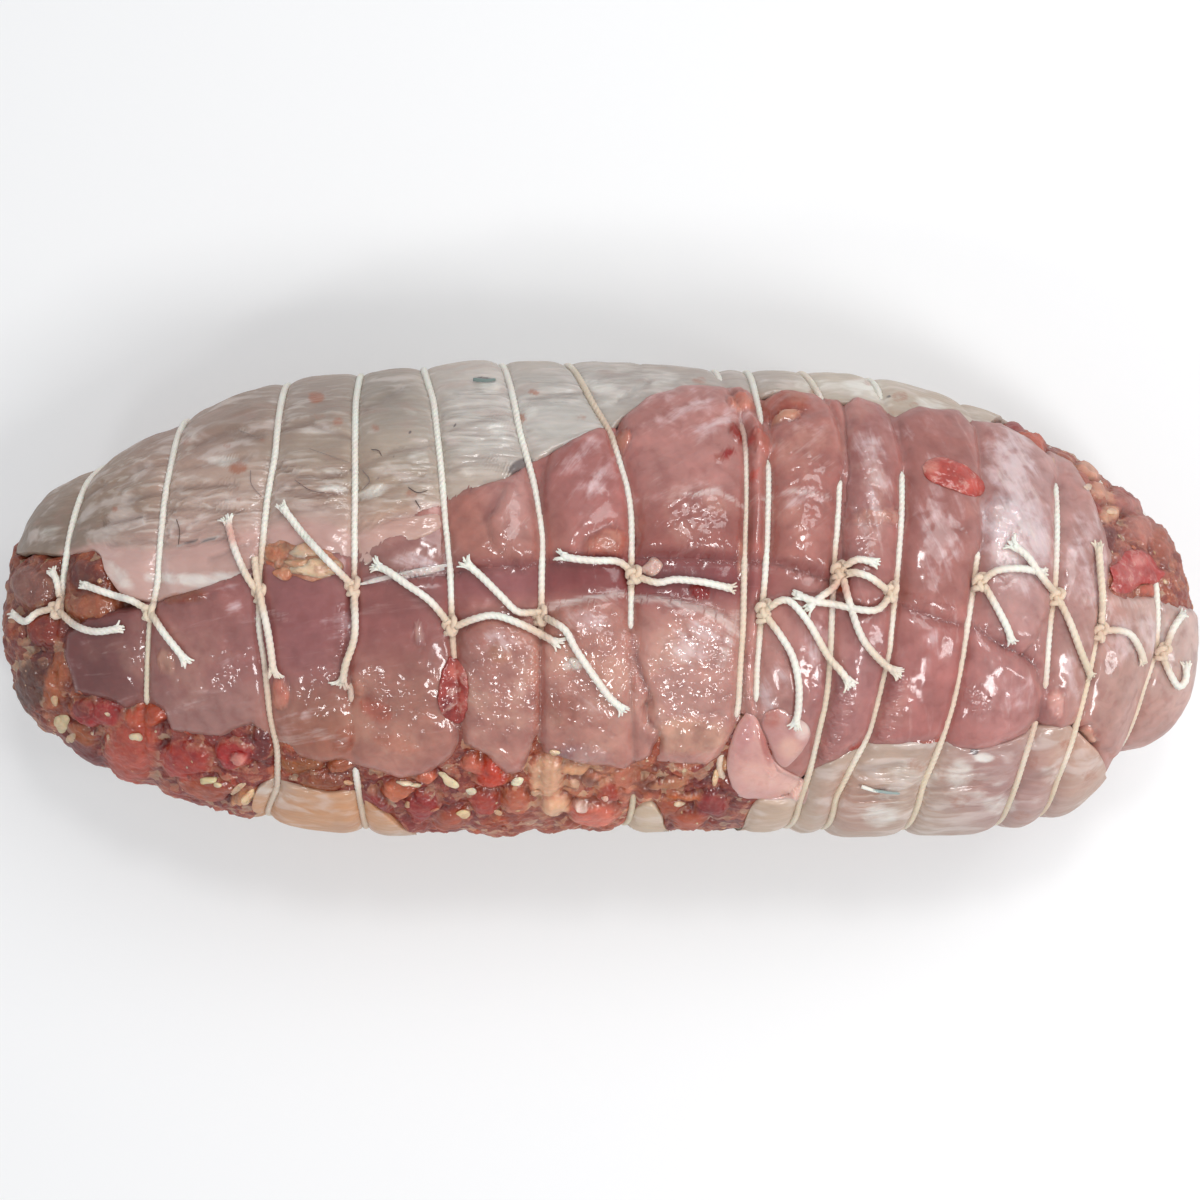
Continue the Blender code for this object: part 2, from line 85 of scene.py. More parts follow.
def roundForm(x, angle):  # the smooth roast, with nothing pulled in or bulging
    x = np.clip(x, -roast["halfLength"], roast["halfLength"])
    axisY, axisZ, back, front = section(x)
    sine, cosine = np.sin(np.radians(angle)), np.cos(np.radians(angle))
    y = axisY + np.where(sine > 0, back, front) * sine
    z = axisZ + (back + front) / 2 * np.where(cosine > 0, roast["topRise"], roast["bottomDrop"]) * cosine
    return np.stack(np.broadcast_arrays(x, y, z), -1)


def unit(v):
    return v / np.maximum(np.linalg.norm(v, axis=-1, keepdims=True), 1e-9)


def facing(x, angle):  # the way the smooth roast faces
    last = roast["halfLength"] - 0.02
    step = np.clip((last - np.abs(x)) * 0.5, 0.02, 0.5)
    x = np.clip(x, -last, last)
    along = roundForm(x + step, angle) - roundForm(x - step, angle)
    roundIt = roundForm(x, angle + 0.5) - roundForm(x, angle - 0.5)
    out = unit(np.cross(along, roundIt))
    tip = np.clip((np.abs(x) - last + 0.4) / 0.4, 0, 1)[..., None]
    return unit(out * (1 - tip) + np.stack(np.broadcast_arrays(np.sign(x), 0 * x, 0 * x), -1) * tip)


def seenAt(p):  # where the photograph shows a point
    scale = photo["pixels"] / (photo["height"] - p[..., 2])
    return np.stack([photo["middle"][0] + p[..., 0] * scale, photo["middle"][1] - p[..., 1] * scale], -1)


def hashOf(i, j, k, seed):
    h = (i * 374761393 + j * 668265263 + k * 2147483647 + seed * 1274126177) & 0xFFFFFFFF
    h = ((h ^ (h >> 13)) * 1103515245) & 0xFFFFFFFF
    h = ((h ^ (h >> 16)) * 2246822519) & 0xFFFFFFFF
    return (h ^ (h >> 15)) / 4294967295.0


def lumps(p, size, seed, octaves=3):  # soft noise from -1 to 1
    total, height = 0, 1.0
    for octave in range(octaves):
        q = p / size * 2 ** octave + 31.7 * (seed + octave)
        cell = np.floor(q).astype(np.int64)
        f = q - cell
        f = f * f * (3 - 2 * f)
        value = 0
        for dx in (0, 1):
            for dy in (0, 1):
                for dz in (0, 1):
                    weight = (np.where(dx, f[..., 0], 1 - f[..., 0]) * np.where(dy, f[..., 1], 1 - f[..., 1])
                              * np.where(dz, f[..., 2], 1 - f[..., 2]))
                    value = value + weight * hashOf(cell[..., 0] + dx, cell[..., 1] + dy, cell[..., 2] + dz, seed)
        total = total + (value * 2 - 1) * height
        height /= 2
    return total / (2 - 2 ** (1 - octaves))


def crumbsAt(p, size, seed):  # distances to the nearest two crumb centres, and a number from 0 to 1 for the nearest
    q = p / size
    cell = np.floor(q).astype(np.int64)
    first = np.full(p.shape[:-1], 9.0)
    second = first.copy()
    which = np.zeros(p.shape[:-1])
    for dx in (-1, 0, 1):
        for dy in (-1, 0, 1):
            for dz in (-1, 0, 1):
                i, j, k = cell[..., 0] + dx, cell[..., 1] + dy, cell[..., 2] + dz
                jitter = [hashOf(i, j, k, seed + more) for more in (0, 7, 13)]
                d = np.linalg.norm(q - np.stack([i + jitter[0], j + jitter[1], k + jitter[2]], -1), axis=-1)
                nearer = d < first
                second = np.where(nearer, first, np.minimum(second, d))
                which = np.where(nearer, hashOf(i, j, k, seed + 29), which)
                first = np.where(nearer, d, first)
    return first, second, which


def ease(low, high, x):
    t = np.clip((x - low) / (high - low), 0, 1)
    return t * t * (3 - 2 * t)


def distanceIn(outline, uv):  # how far inside an outline, in pixels, negative outside
    corners = np.array(outline, float)
    best = np.full(uv.shape[:-1], 1e9)
    inside = np.zeros(uv.shape[:-1], bool)
    for a, b in zip(corners, np.roll(corners, -1, 0)):
        side = b - a
        t = np.clip(((uv - a) @ side) / (side @ side), 0, 1)
        best = np.minimum(best, np.linalg.norm(uv - a - t[..., None] * side, axis=-1))
        crosses = (a[1] > uv[..., 1]) != (b[1] > uv[..., 1])
        if a[1] != b[1]:
            inside ^= crosses & (uv[..., 0] < (b[0] - a[0]) * (uv[..., 1] - a[1]) / (b[1] - a[1]) + a[0])
    return np.where(inside, best, -best)


def distanceTo(line, uv):  # distance from an open line, in pixels
    corners = np.array(line, float)
    best = np.full(uv.shape[:-1], 1e9)
    for a, b in zip(corners, corners[1:]):
        side = b - a
        t = np.clip(((uv - a) @ side) / max(side @ side, 1e-6), 0, 1)
        best = np.minimum(best, np.linalg.norm(uv - a - t[..., None] * side, axis=-1))
    return best


def resampled(route, step):  # points at even steps along a smooth line through the route
    route = np.array(route, float)
    padded = np.vstack([2 * route[0] - route[1], route, 2 * route[-1] - route[-2]])
    dense = []
    for i in range(1, len(padded) - 2):
        a, b, c, d = padded[i - 1:i + 3]
        t = np.linspace(0, 1, 12, endpoint=False)[:, None]
        dense.append(0.5 * (2 * b + (c - a) * t + (2 * a - 5 * b + 4 * c - d) * t ** 2
                            + (3 * b - a - 3 * c + d) * t ** 3))
    dense = np.vstack(dense + [route[-1:]])
    run = np.concatenate([[0], np.cumsum(np.linalg.norm(np.diff(dense, axis=0), axis=1))])
    at = np.linspace(0, run[-1], max(2, int(round(run[-1] / step)) + 1))
    return np.stack([np.interp(at, run, dense[:, k]) for k in range(dense.shape[1])], -1)


def smoothed(values, width, wrap=False):  # a running average
    kernel = np.exp(-np.linspace(-2, 2, 4 * width + 1) ** 2)
    kernel /= kernel.sum()
    pad = [(2 * width, 2 * width)] + [(0, 0)] * (values.ndim - 1)
    padded = np.pad(values, pad, mode="wrap" if wrap else "edge")
    if values.ndim == 1:
        return np.convolve(padded, kernel, "valid")
    return np.stack([np.convolve(padded[:, k], kernel, "valid") for k in range(values.shape[1])], -1)


# Strings: back, top and front stations as in the solids, and the line that the photograph shows.
# hidden gives the stretches (in pixel rows) where meat has closed over the string

ties = [
    {"at": (-126, -132, -135), "knot": (57, 608),
     "seen": ((108, 463), (88, 476), (71, 519), (61, 572), (57, 608), (58, 650)), "hidden": ((612, 900),)},
    {"at": (-105, -107, -112), "knot": (150, 611),
     "seen": ((188, 418), (171, 462), (164, 495), (156, 580), (147, 620), (144, 699)), "hidden": ((706, 900),)},
    {"at": (-81, -80, -84), "knot": (261, 593),
     "seen": ((284, 392), (275, 456), (267, 495), (258, 580), (257, 628), (263, 660), (269, 718), (277, 750),
              (277, 788), (268, 819))},
    {"at": (-61, -57, -60), "knot": (354, 586),
     "seen": ((360, 378), (356, 400), (355, 476), (354, 572), (351, 640), (350, 698), (355, 775), (365, 828)),
     "hidden": ((612, 684), (704, 772))},
    {"at": (-45, -36, -35), "knot": (451, 625),
     "seen": ((424, 368), (434, 400), (441, 464), (446, 525), (450, 563), (452, 639), (455, 661), (459, 733),
              (463, 800)), "hidden": ((722, 900),)},
    {"at": (-25, -14, -15), "knot": (541, 615),
     "seen": ((504, 366), (520, 430), (534, 480), (543, 535), (542, 569), (541, 640), (540, 755)),
     "hidden": ((640, 900),)},
    {"at": (-7, 7, 7), "knot": (635, 574),
     "seen": ((571, 366), (591, 398), (613, 434), (616, 447), (628, 485), (632, 513), (632, 560), (631, 628),
              (631, 700), (630, 822)), "hidden": ((630, 798),)},
    {"at": (29, 34, 35), "knot": None,
     "seen": ((714, 370), (742, 421), (746, 442), (747, 513), (745, 560), (744, 628), (741, 667), (738, 718),
              (718, 770), (738, 820)), "hidden": ((376, 420), (719, 758), (782, 900))},
    {"at": (37, 39, 38), "knot": (765, 608), "wraps": 2,
     "seen": ((747, 371), (757, 398), (762, 421), (769, 462), (769, 488), (767, 560), (763, 611), (761, 629),
              (758, 668), (757, 701), (757, 760)), "hidden": ((424, 460), (704, 900))},
    {"at": (52, 55, 49), "knot": (840, 569),
     "seen": ((806, 375), (821, 396), (840, 430), (845, 462), (840, 481), (839, 513), (835, 560), (833, 616),
              (831, 668), (827, 706), (822, 725), (812, 769), (801, 804), (794, 826)), "hidden": ((398, 478),)},
    {"at": (71, 69, 58), "knot": (892, 591),
     "seen": ((880, 395), (890, 421), (902, 456), (903, 508), (898, 580), (895, 610), (891, 655), (886, 674),
              (878, 708), (871, 735), (853, 769), (836, 802), (826, 831)), "hidden": ((395, 470),)},
    {"at": (95, 89, 78), "knot": (981, 581),
     "seen": ((955, 402), (972, 420), (980, 460), (979, 508), (985, 528), (978, 560), (974, 595), (969, 629),
              (963, 668), (955, 706), (943, 744), (924, 788), (906, 831)), "hidden": ((400, 550),)},
    {"at": (116, 109, 101), "knot": (1058, 596),
     "seen": ((1050, 440), (1056, 489), (1057, 592), (1053, 623), (1051, 648), (1048, 693), (1038, 724),
              (1024, 769), (1010, 808), (996, 832)), "hidden": ((380, 482), (690, 722))},
    {"at": (128, 121, 111), "knot": (1101, 631),
     "seen": ((1108, 560), (1101, 631), (1099, 642), (1091, 682), (1083, 713), (1073, 749), (1059, 783),
              (1037, 825)), "hidden": ((400, 600),)},
    {"at": (140, 138, 132), "knot": (1164, 651),
     "seen": ((1158, 583), (1162, 621), (1161, 647), (1157, 662), (1147, 688), (1137, 719), (1118, 753)),
     "hidden": ((300, 580),)},
]
string = {"radius": 0.84, "depth": 1.55, "depthAtBack": 0.35, "dive": 0.9}
angles = np.arange(-180.0, 181.0)


def tieLine(tie):  # x of a string at each whole degree round the roast
    back, top, front = tie["at"]
    middle = (back + front) / 2
    x = middle + (back - front) / 2 * np.sin(np.radians(angles)) + (top - middle) * np.cos(np.radians(angles))
    p = roundForm(x, angles)
    uv = seenAt(p)
    upper = np.abs(angles) < 89
    order = np.argsort(uv[upper, 1])
    seen = np.array(tie["seen"], float)
    seen = seen[np.argsort(seen[:, 1])]
    shift = seen[:, 0] - np.interp(seen[:, 1], uv[upper, 1][order], uv[upper, 0][order])
    du = np.interp(uv[:, 1], seen[:, 1], shift)
    fade = 1 - ease(80, 120, np.abs(angles))
    return np.clip(x + smoothed(du * fade, 3) * (photo["height"] - p[:, 2]) / photo["pixels"], -149, 149)


for tie in ties:
    tie["x"] = tieLine(tie)
    tie["v"] = seenAt(roundForm(tie["x"], angles))[:, 1]


def towardsBack(angle):
    return np.clip(np.sin(np.radians(angle)), 0, 1)


def nearestTie(x, angle):  # distance to the nearest string, and how far meat has closed over it there
    angle = (np.asarray(angle) + 180) % 360 - 180
    near = np.full(x.shape, 1e9)
    closed = np.zeros(x.shape)
    v = seenAt(roundForm(x, angle))[..., 1]
    for tie in ties:
        d = np.abs(x - np.interp(angle, angles, tie["x"])) * 0.97
        cover = np.zeros(x.shape)
        for low, high in tie.get("hidden", ()):
            cover = np.maximum(cover, ease(low - 8, low + 8, v) * (1 - ease(high - 8, high + 8, v)))
        cover = cover * (1 - ease(84, 98, np.abs(angle)))
        closer = d < near
        near = np.where(closer, d, near)
        closed = np.where(closer, cover, closed)
    return near, closed


# the height once the strings have pulled the surface in
def pulledIn(x, angle, height, reach, fullness, seat=2.35):
    near, closed = nearestTie(x, angle)
    bottom = -(seat + (0.95 - seat) * towardsBack(angle))
    bottom = bottom * (1 - closed) + np.maximum(height * 0.55 - 0.7, -0.25) * closed
    t = np.clip((near - 0.5) / reach, 0, 1)
    full = np.sqrt(np.clip(1 - (1 - t) ** 2, 0, 1)) ** fullness
    return np.where(height > bottom, bottom + (height - bottom) * full, height)


def standUp(x, angle, lift):  # lifts a place off the smooth roast, and flattens what would go through the table
    p = roundForm(x, angle) + facing(x, angle) * lift[..., None]
    p[..., 2] = np.maximum(p[..., 2], roast["floorGap"])
    return p


def addPiece(name, p, quads):  # a mesh object from points in millimetres
    made = bpy.data.objects.new(name, bpy.data.meshes.new(name))
    made.data.from_pydata([tuple(v) for v in (p * mm)], [], quads)
    bpy.context.scene.collection.objects.link(made)
    made.data.shade_smooth()
    return made


def ballRings(name, rings, columns):  # a ball with its poles along x: each point's ring and column
    bpy.ops.object.select_all(action="DESELECT")
    bpy.ops.mesh.primitive_uv_sphere_add(segments=columns, ring_count=rings + 1, radius=1)
    made = bpy.context.object
    made.name = made.data.name = name
    co = pointsOf(made, 1)
    ring = np.rint(np.arccos(np.clip(co[:, 2], -1, 1)) / math.pi * (rings + 1)).astype(int)
    column = np.rint(np.arctan2(co[:, 1], co[:, 0]) / math.tau * columns).astype(int) % columns
    return made, ring, column


def moveTo(made, p):  # puts a piece's points in place, and turns it right side out
    made.data.vertices.foreach_set("co", (p * mm).ravel())
    made.data.update()
    made.data.calc_loop_triangles()
    tris = np.empty(len(made.data.loop_triangles) * 3, np.int32)
    made.data.loop_triangles.foreach_get("vertices", tris)
    corners = p[tris.reshape(-1, 3)]
    volume = np.einsum("ij,ij->i", corners[:, 0], np.cross(corners[:, 1], corners[:, 2])).sum()
    if volume < 0:
        made.data.flip_normals()
    made.data.shade_smooth()
    return made


def spread(count, spans):  # values over a range, closer together where a span asks for more of them
    edges = np.array([s[0] for s in spans] + [spans[-1][1]], float)
    weights = np.array([s[2] for s in spans], float)
    run = np.concatenate([[0], np.cumsum(np.diff(edges) * weights)])
    return np.interp(np.linspace(0, run[-1], count), run, edges)


def pointsOf(piece, unitSize=mm):
    co = np.empty(len(piece.data.vertices) * 3)
    piece.data.vertices.foreach_get("co", co)
    return co.reshape(-1, 3) / unitSize


def normalsOf(piece):
    out = np.empty(len(piece.data.vertices) * 3)
    piece.data.vertices.foreach_get("normal", out)
    return out.reshape(-1, 3)


def paint(piece, name, colours):  # a colour attribute from one colour for each point
    layer = piece.data.color_attributes.new(name=name, type="FLOAT_COLOR", domain="POINT")
    full = np.ones((len(colours), 4), np.float32)
    full[:, :colours.shape[1]] = colours
    layer.data.foreach_set("color", full.ravel())


def linear(rgb):
    c = np.array(rgb, float) / 255
    return np.where(c <= 0.04045, c / 12.92, ((c + 0.055) / 1.055) ** 2.4)


# soft washes of colour laid over a base, each (u, v, half width, half height, colour)
def washed(uv, base, washes):
    total = np.ones(uv.shape[:-1] + (1,)) * 0.12
    colour = total * linear(base)
    for u, v, wide, high, rgb in washes:
        weight = np.exp(-((uv[..., 0] - u) / wide) ** 2 - ((uv[..., 1] - v) / high) ** 2)[..., None]
        colour = colour + weight * linear(rgb)
        total = total + weight
    return colour / total


def spotted(uv, spots):  # how strongly a set of spots shows, each (u, v, half width, half height, turn, strength)
    shown = np.zeros(uv.shape[:-1])
    for u, v, wide, high, turn, strength in spots:
        c, s = math.cos(math.radians(turn)), math.sin(math.radians(turn))
        du, dv = uv[..., 0] - u, uv[..., 1] - v
        d = np.hypot((du * c + dv * s) / wide, (-du * s + dv * c) / high)
        shown = np.maximum(shown, strength * (1 - ease(0.45, 1.35, d)))
    return shown


def streaked(uv, streaks):  # how strongly a set of streaks shows, each (points, half width, strength)
    shown = np.zeros(uv.shape[:-1])
    for line, wide, strength in streaks:
        shown = np.maximum(shown, strength * (1 - ease(0.2, 1.5, distanceTo(line, uv) / wide)))
    return shown


def pressIn(p, uv, height, tone, bits, flatten, rough):  # soft bits: middle, half sizes, turn, height, colour
    bent = uv + np.stack([lumps(p, 4, 31, 4), lumps(p, 4, 32, 4)], -1) * 5
    covered = np.zeros(len(p))
    for u, v, wide, high, turn, rise, rgbOf in bits:
        c, s = math.cos(math.radians(turn)), math.sin(math.radians(turn))
        du, dv = bent[:, 0] - u, bent[:, 1] - v
        d = np.hypot((du * c + dv * s) / wide, (-du * s + dv * c) / high)
        seat = 1 - ease(0.45, 1.25, d)
        height = height - min(rise, 0.7) * ease(0.95, 1.2, d) * (1 - ease(1.2, 1.7, d))
        height = height * (1 - seat * flatten) + (rise * 0.8 + rough * lumps(p, 3.4, 61, 3)) * seat
        cover = (1 - ease(0.75, 1.15, d))[:, None] * 0.88
        tone = tone * (1 - cover) + linear(rgbOf) * (0.92 + 0.34 * lumps(p, 2.4, 62, 3))[:, None] * cover
        covered = np.maximum(covered, cover[:, 0])
    return height, tone, covered


# Meat: muscles that bulge between the strings, each with the outline it shows from above

# height, roundness of the edge and how deep it falls, in millimetres, way of the fibres, outline in pixels
muscles = [
    (1.2, 3.5, 5, -12, (  # left
        (67, 632), (88, 617), (128, 611), (149, 603), (171, 596), (197, 590), (236, 574), (262, 560), (340, 550),
        (366, 560), (400, 575), (447, 578), (456, 600), (456, 640), (457, 700), (458, 740), (452, 752), (440, 765),
        (425, 775), (400, 779), (372, 768), (345, 760), (320, 762), (300, 758), (280, 747), (262, 732), (253, 723),
        (219, 737), (171, 731), (165, 713), (144, 702), (128, 707), (117, 702), (91, 697), (75, 691), (72, 678),
        (64, 654))),
    (0.3, 2.0, 5, 2, (  # band
        (430, 586), (465, 570), (486, 567), (520, 564), (541, 564), (560, 562), (600, 561), (632, 559), (646, 558),
        (690, 558), (742, 562), (771, 564), (800, 572), (830, 582), (846, 592), (846, 640), (800, 700), (760, 720),
        (700, 700), (600, 700), (500, 700), (455, 650), (440, 620))),
    (2.3, 3.4, 3.6, 50, (  # first
        (457, 647), (465, 631), (488, 620), (517, 620), (537, 628), (540, 660), (541, 724), (533, 744), (522, 767),
        (506, 769), (488, 751), (465, 740), (461, 701), (457, 665))),
    (2.6, 2.6, 3.6, 40, (  # second
        (543, 633), (560, 611), (592, 599), (626, 595), (633, 611), (633, 660), (646, 688), (640, 704), (646, 722),
        (657, 727), (650, 750), (626, 762), (579, 756), (547, 750), (541, 724), (542, 679))),
    (2.3, 3.2, 3.6, 35, (  # third
        (634, 597), (681, 602), (721, 614), (740, 624), (743, 647), (740, 701), (739, 719), (732, 733), (722, 749),
        (706, 762), (676, 760), (658, 757), (662, 735), (650, 715), (654, 697), (646, 676), (638, 650))),
    (1.6, 2.6, 3.2, 60, (  # fourth
        (748, 640), (765, 640), (785, 652), (797, 672), (799, 692), (797, 714), (780, 722), (765, 722), (752, 712),
        (746, 670))),
    (0.9, 3.0, 4, 85, (  # glossy
        (744, 612), (770, 600), (815, 592), (850, 592), (850, 700), (838, 745), (822, 768), (800, 778), (778, 770),
        (760, 735), (745, 700))),
    (2.3, 6.0, 6, 88, (  # tenderloin
        (826, 640), (840, 609), (870, 602), (901, 603), (944, 617), (974, 622), (987, 632), (1000, 641),
        (1017, 651), (1029, 660), (1039, 668), (1046, 688), (1043, 709), (1040, 722), (1029, 736), (1008, 743),
        (991, 749), (972, 751), (948, 748), (912, 744), (880, 748), (856, 752), (825, 766), (800, 776), (808, 745),
        (820, 715), (824, 670))),
    (1.4, 4.0, 5, 70, (  # right end
        (1036, 620), (1046, 600), (1060, 590), (1080, 560), (1112, 586), (1135, 598), (1161, 594), (1182, 606),
        (1230, 610), (1230, 700), (1182, 740), (1150, 750), (1130, 752), (1112, 760), (1100, 748), (1088, 730),
        (1075, 725), (1060, 730), (1043, 724), (1046, 690), (1040, 668), (1030, 652))),
    (0.6, 2.4, 4.5, 20, (  # wedge
        (340, 560), (362, 572), (400, 574), (434, 568), (452, 564), (487, 560), (500, 540), (490, 508), (470, 480),
        (430, 500), (395, 530))),
    (1.8, 3.0, 4.5, -35, (  # plateau
        (446, 566), (465, 567), (487, 564), (520, 563), (541, 561), (541, 500), (525, 470), (500, 480), (470, 490),
        (440, 500), (442, 540))),
    (3.4, 4.0, 2.6, -55, (  # peak
        (486, 520), (494, 512), (500, 500), (507, 487), (516, 480), (526, 482), (536, 490), (543, 520), (542, 556),
        (524, 563), (505, 556), (492, 540))),
    (2.6, 4.2, 5, -50, (  # fold
        (546, 470), (552, 455), (575, 438), (598, 425), (613, 424), (622, 450), (632, 486), (635, 520), (634, 555),
        (628, 561), (600, 561), (560, 562), (548, 561), (545, 535), (540, 500))),
    (3.4, 5.0, 6.5, -28, (  # great
        (616, 440), (622, 419), (645, 400), (680, 388), (720, 386), (748, 390), (762, 396), (772, 420), (773, 470),
        (772, 561), (742, 561), (690, 558), (650, 556), (636, 553), (632, 500))),
    (3.0, 5.0, 5.5, -35, (  # beside
        (764, 398), (780, 391), (815, 392), (838, 400), (848, 424), (850, 470), (846, 520), (842, 580), (828, 578),
        (800, 569), (771, 561), (770, 480), (768, 430))),
    (0.1, 3.0, 4, 70, (  # under end
        (1098, 742), (1112, 735), (1240, 690), (1240, 900), (1104, 900))),
    (-0.6, 3.0, 4, -40, (  # under skin edge
        (480, 520), (492, 480), (505, 455), (530, 440), (570, 425), (600, 415), (600, 440), (560, 470), (545, 500),
        (520, 500))),
    (2.4, 4.5, 5, 75, (  # third ridge
        (842, 408), (855, 397), (880, 406), (898, 420), (906, 456), (907, 510), (904, 590), (890, 612), (864, 614),
        (842, 600), (844, 520), (848, 450))),
    (2.4, 4.5, 5, 70, (  # fourth ridge
        (896, 417), (920, 408), (960, 412), (978, 430), (984, 460), (986, 520), (980, 572), (978, 626), (944, 621),
        (905, 605), (900, 570), (907, 500), (904, 450))),
    (2.2, 4.5, 5, 65, (  # fifth ridge
        (974, 420), (1000, 424), (1030, 440), (1052, 458), (1060, 480), (1060, 600), (1040, 640), (1022, 652),
        (988, 636), (976, 626), (980, 560), (984, 490))),
    (1.8, 4.0, 5, 70, (  # sixth ridge
        (1050, 450), (1072, 462), (1085, 484), (1096, 506), (1105, 530), (1112, 556), (1114, 596), (1080, 610),
        (1050, 620), (1054, 540))),
]
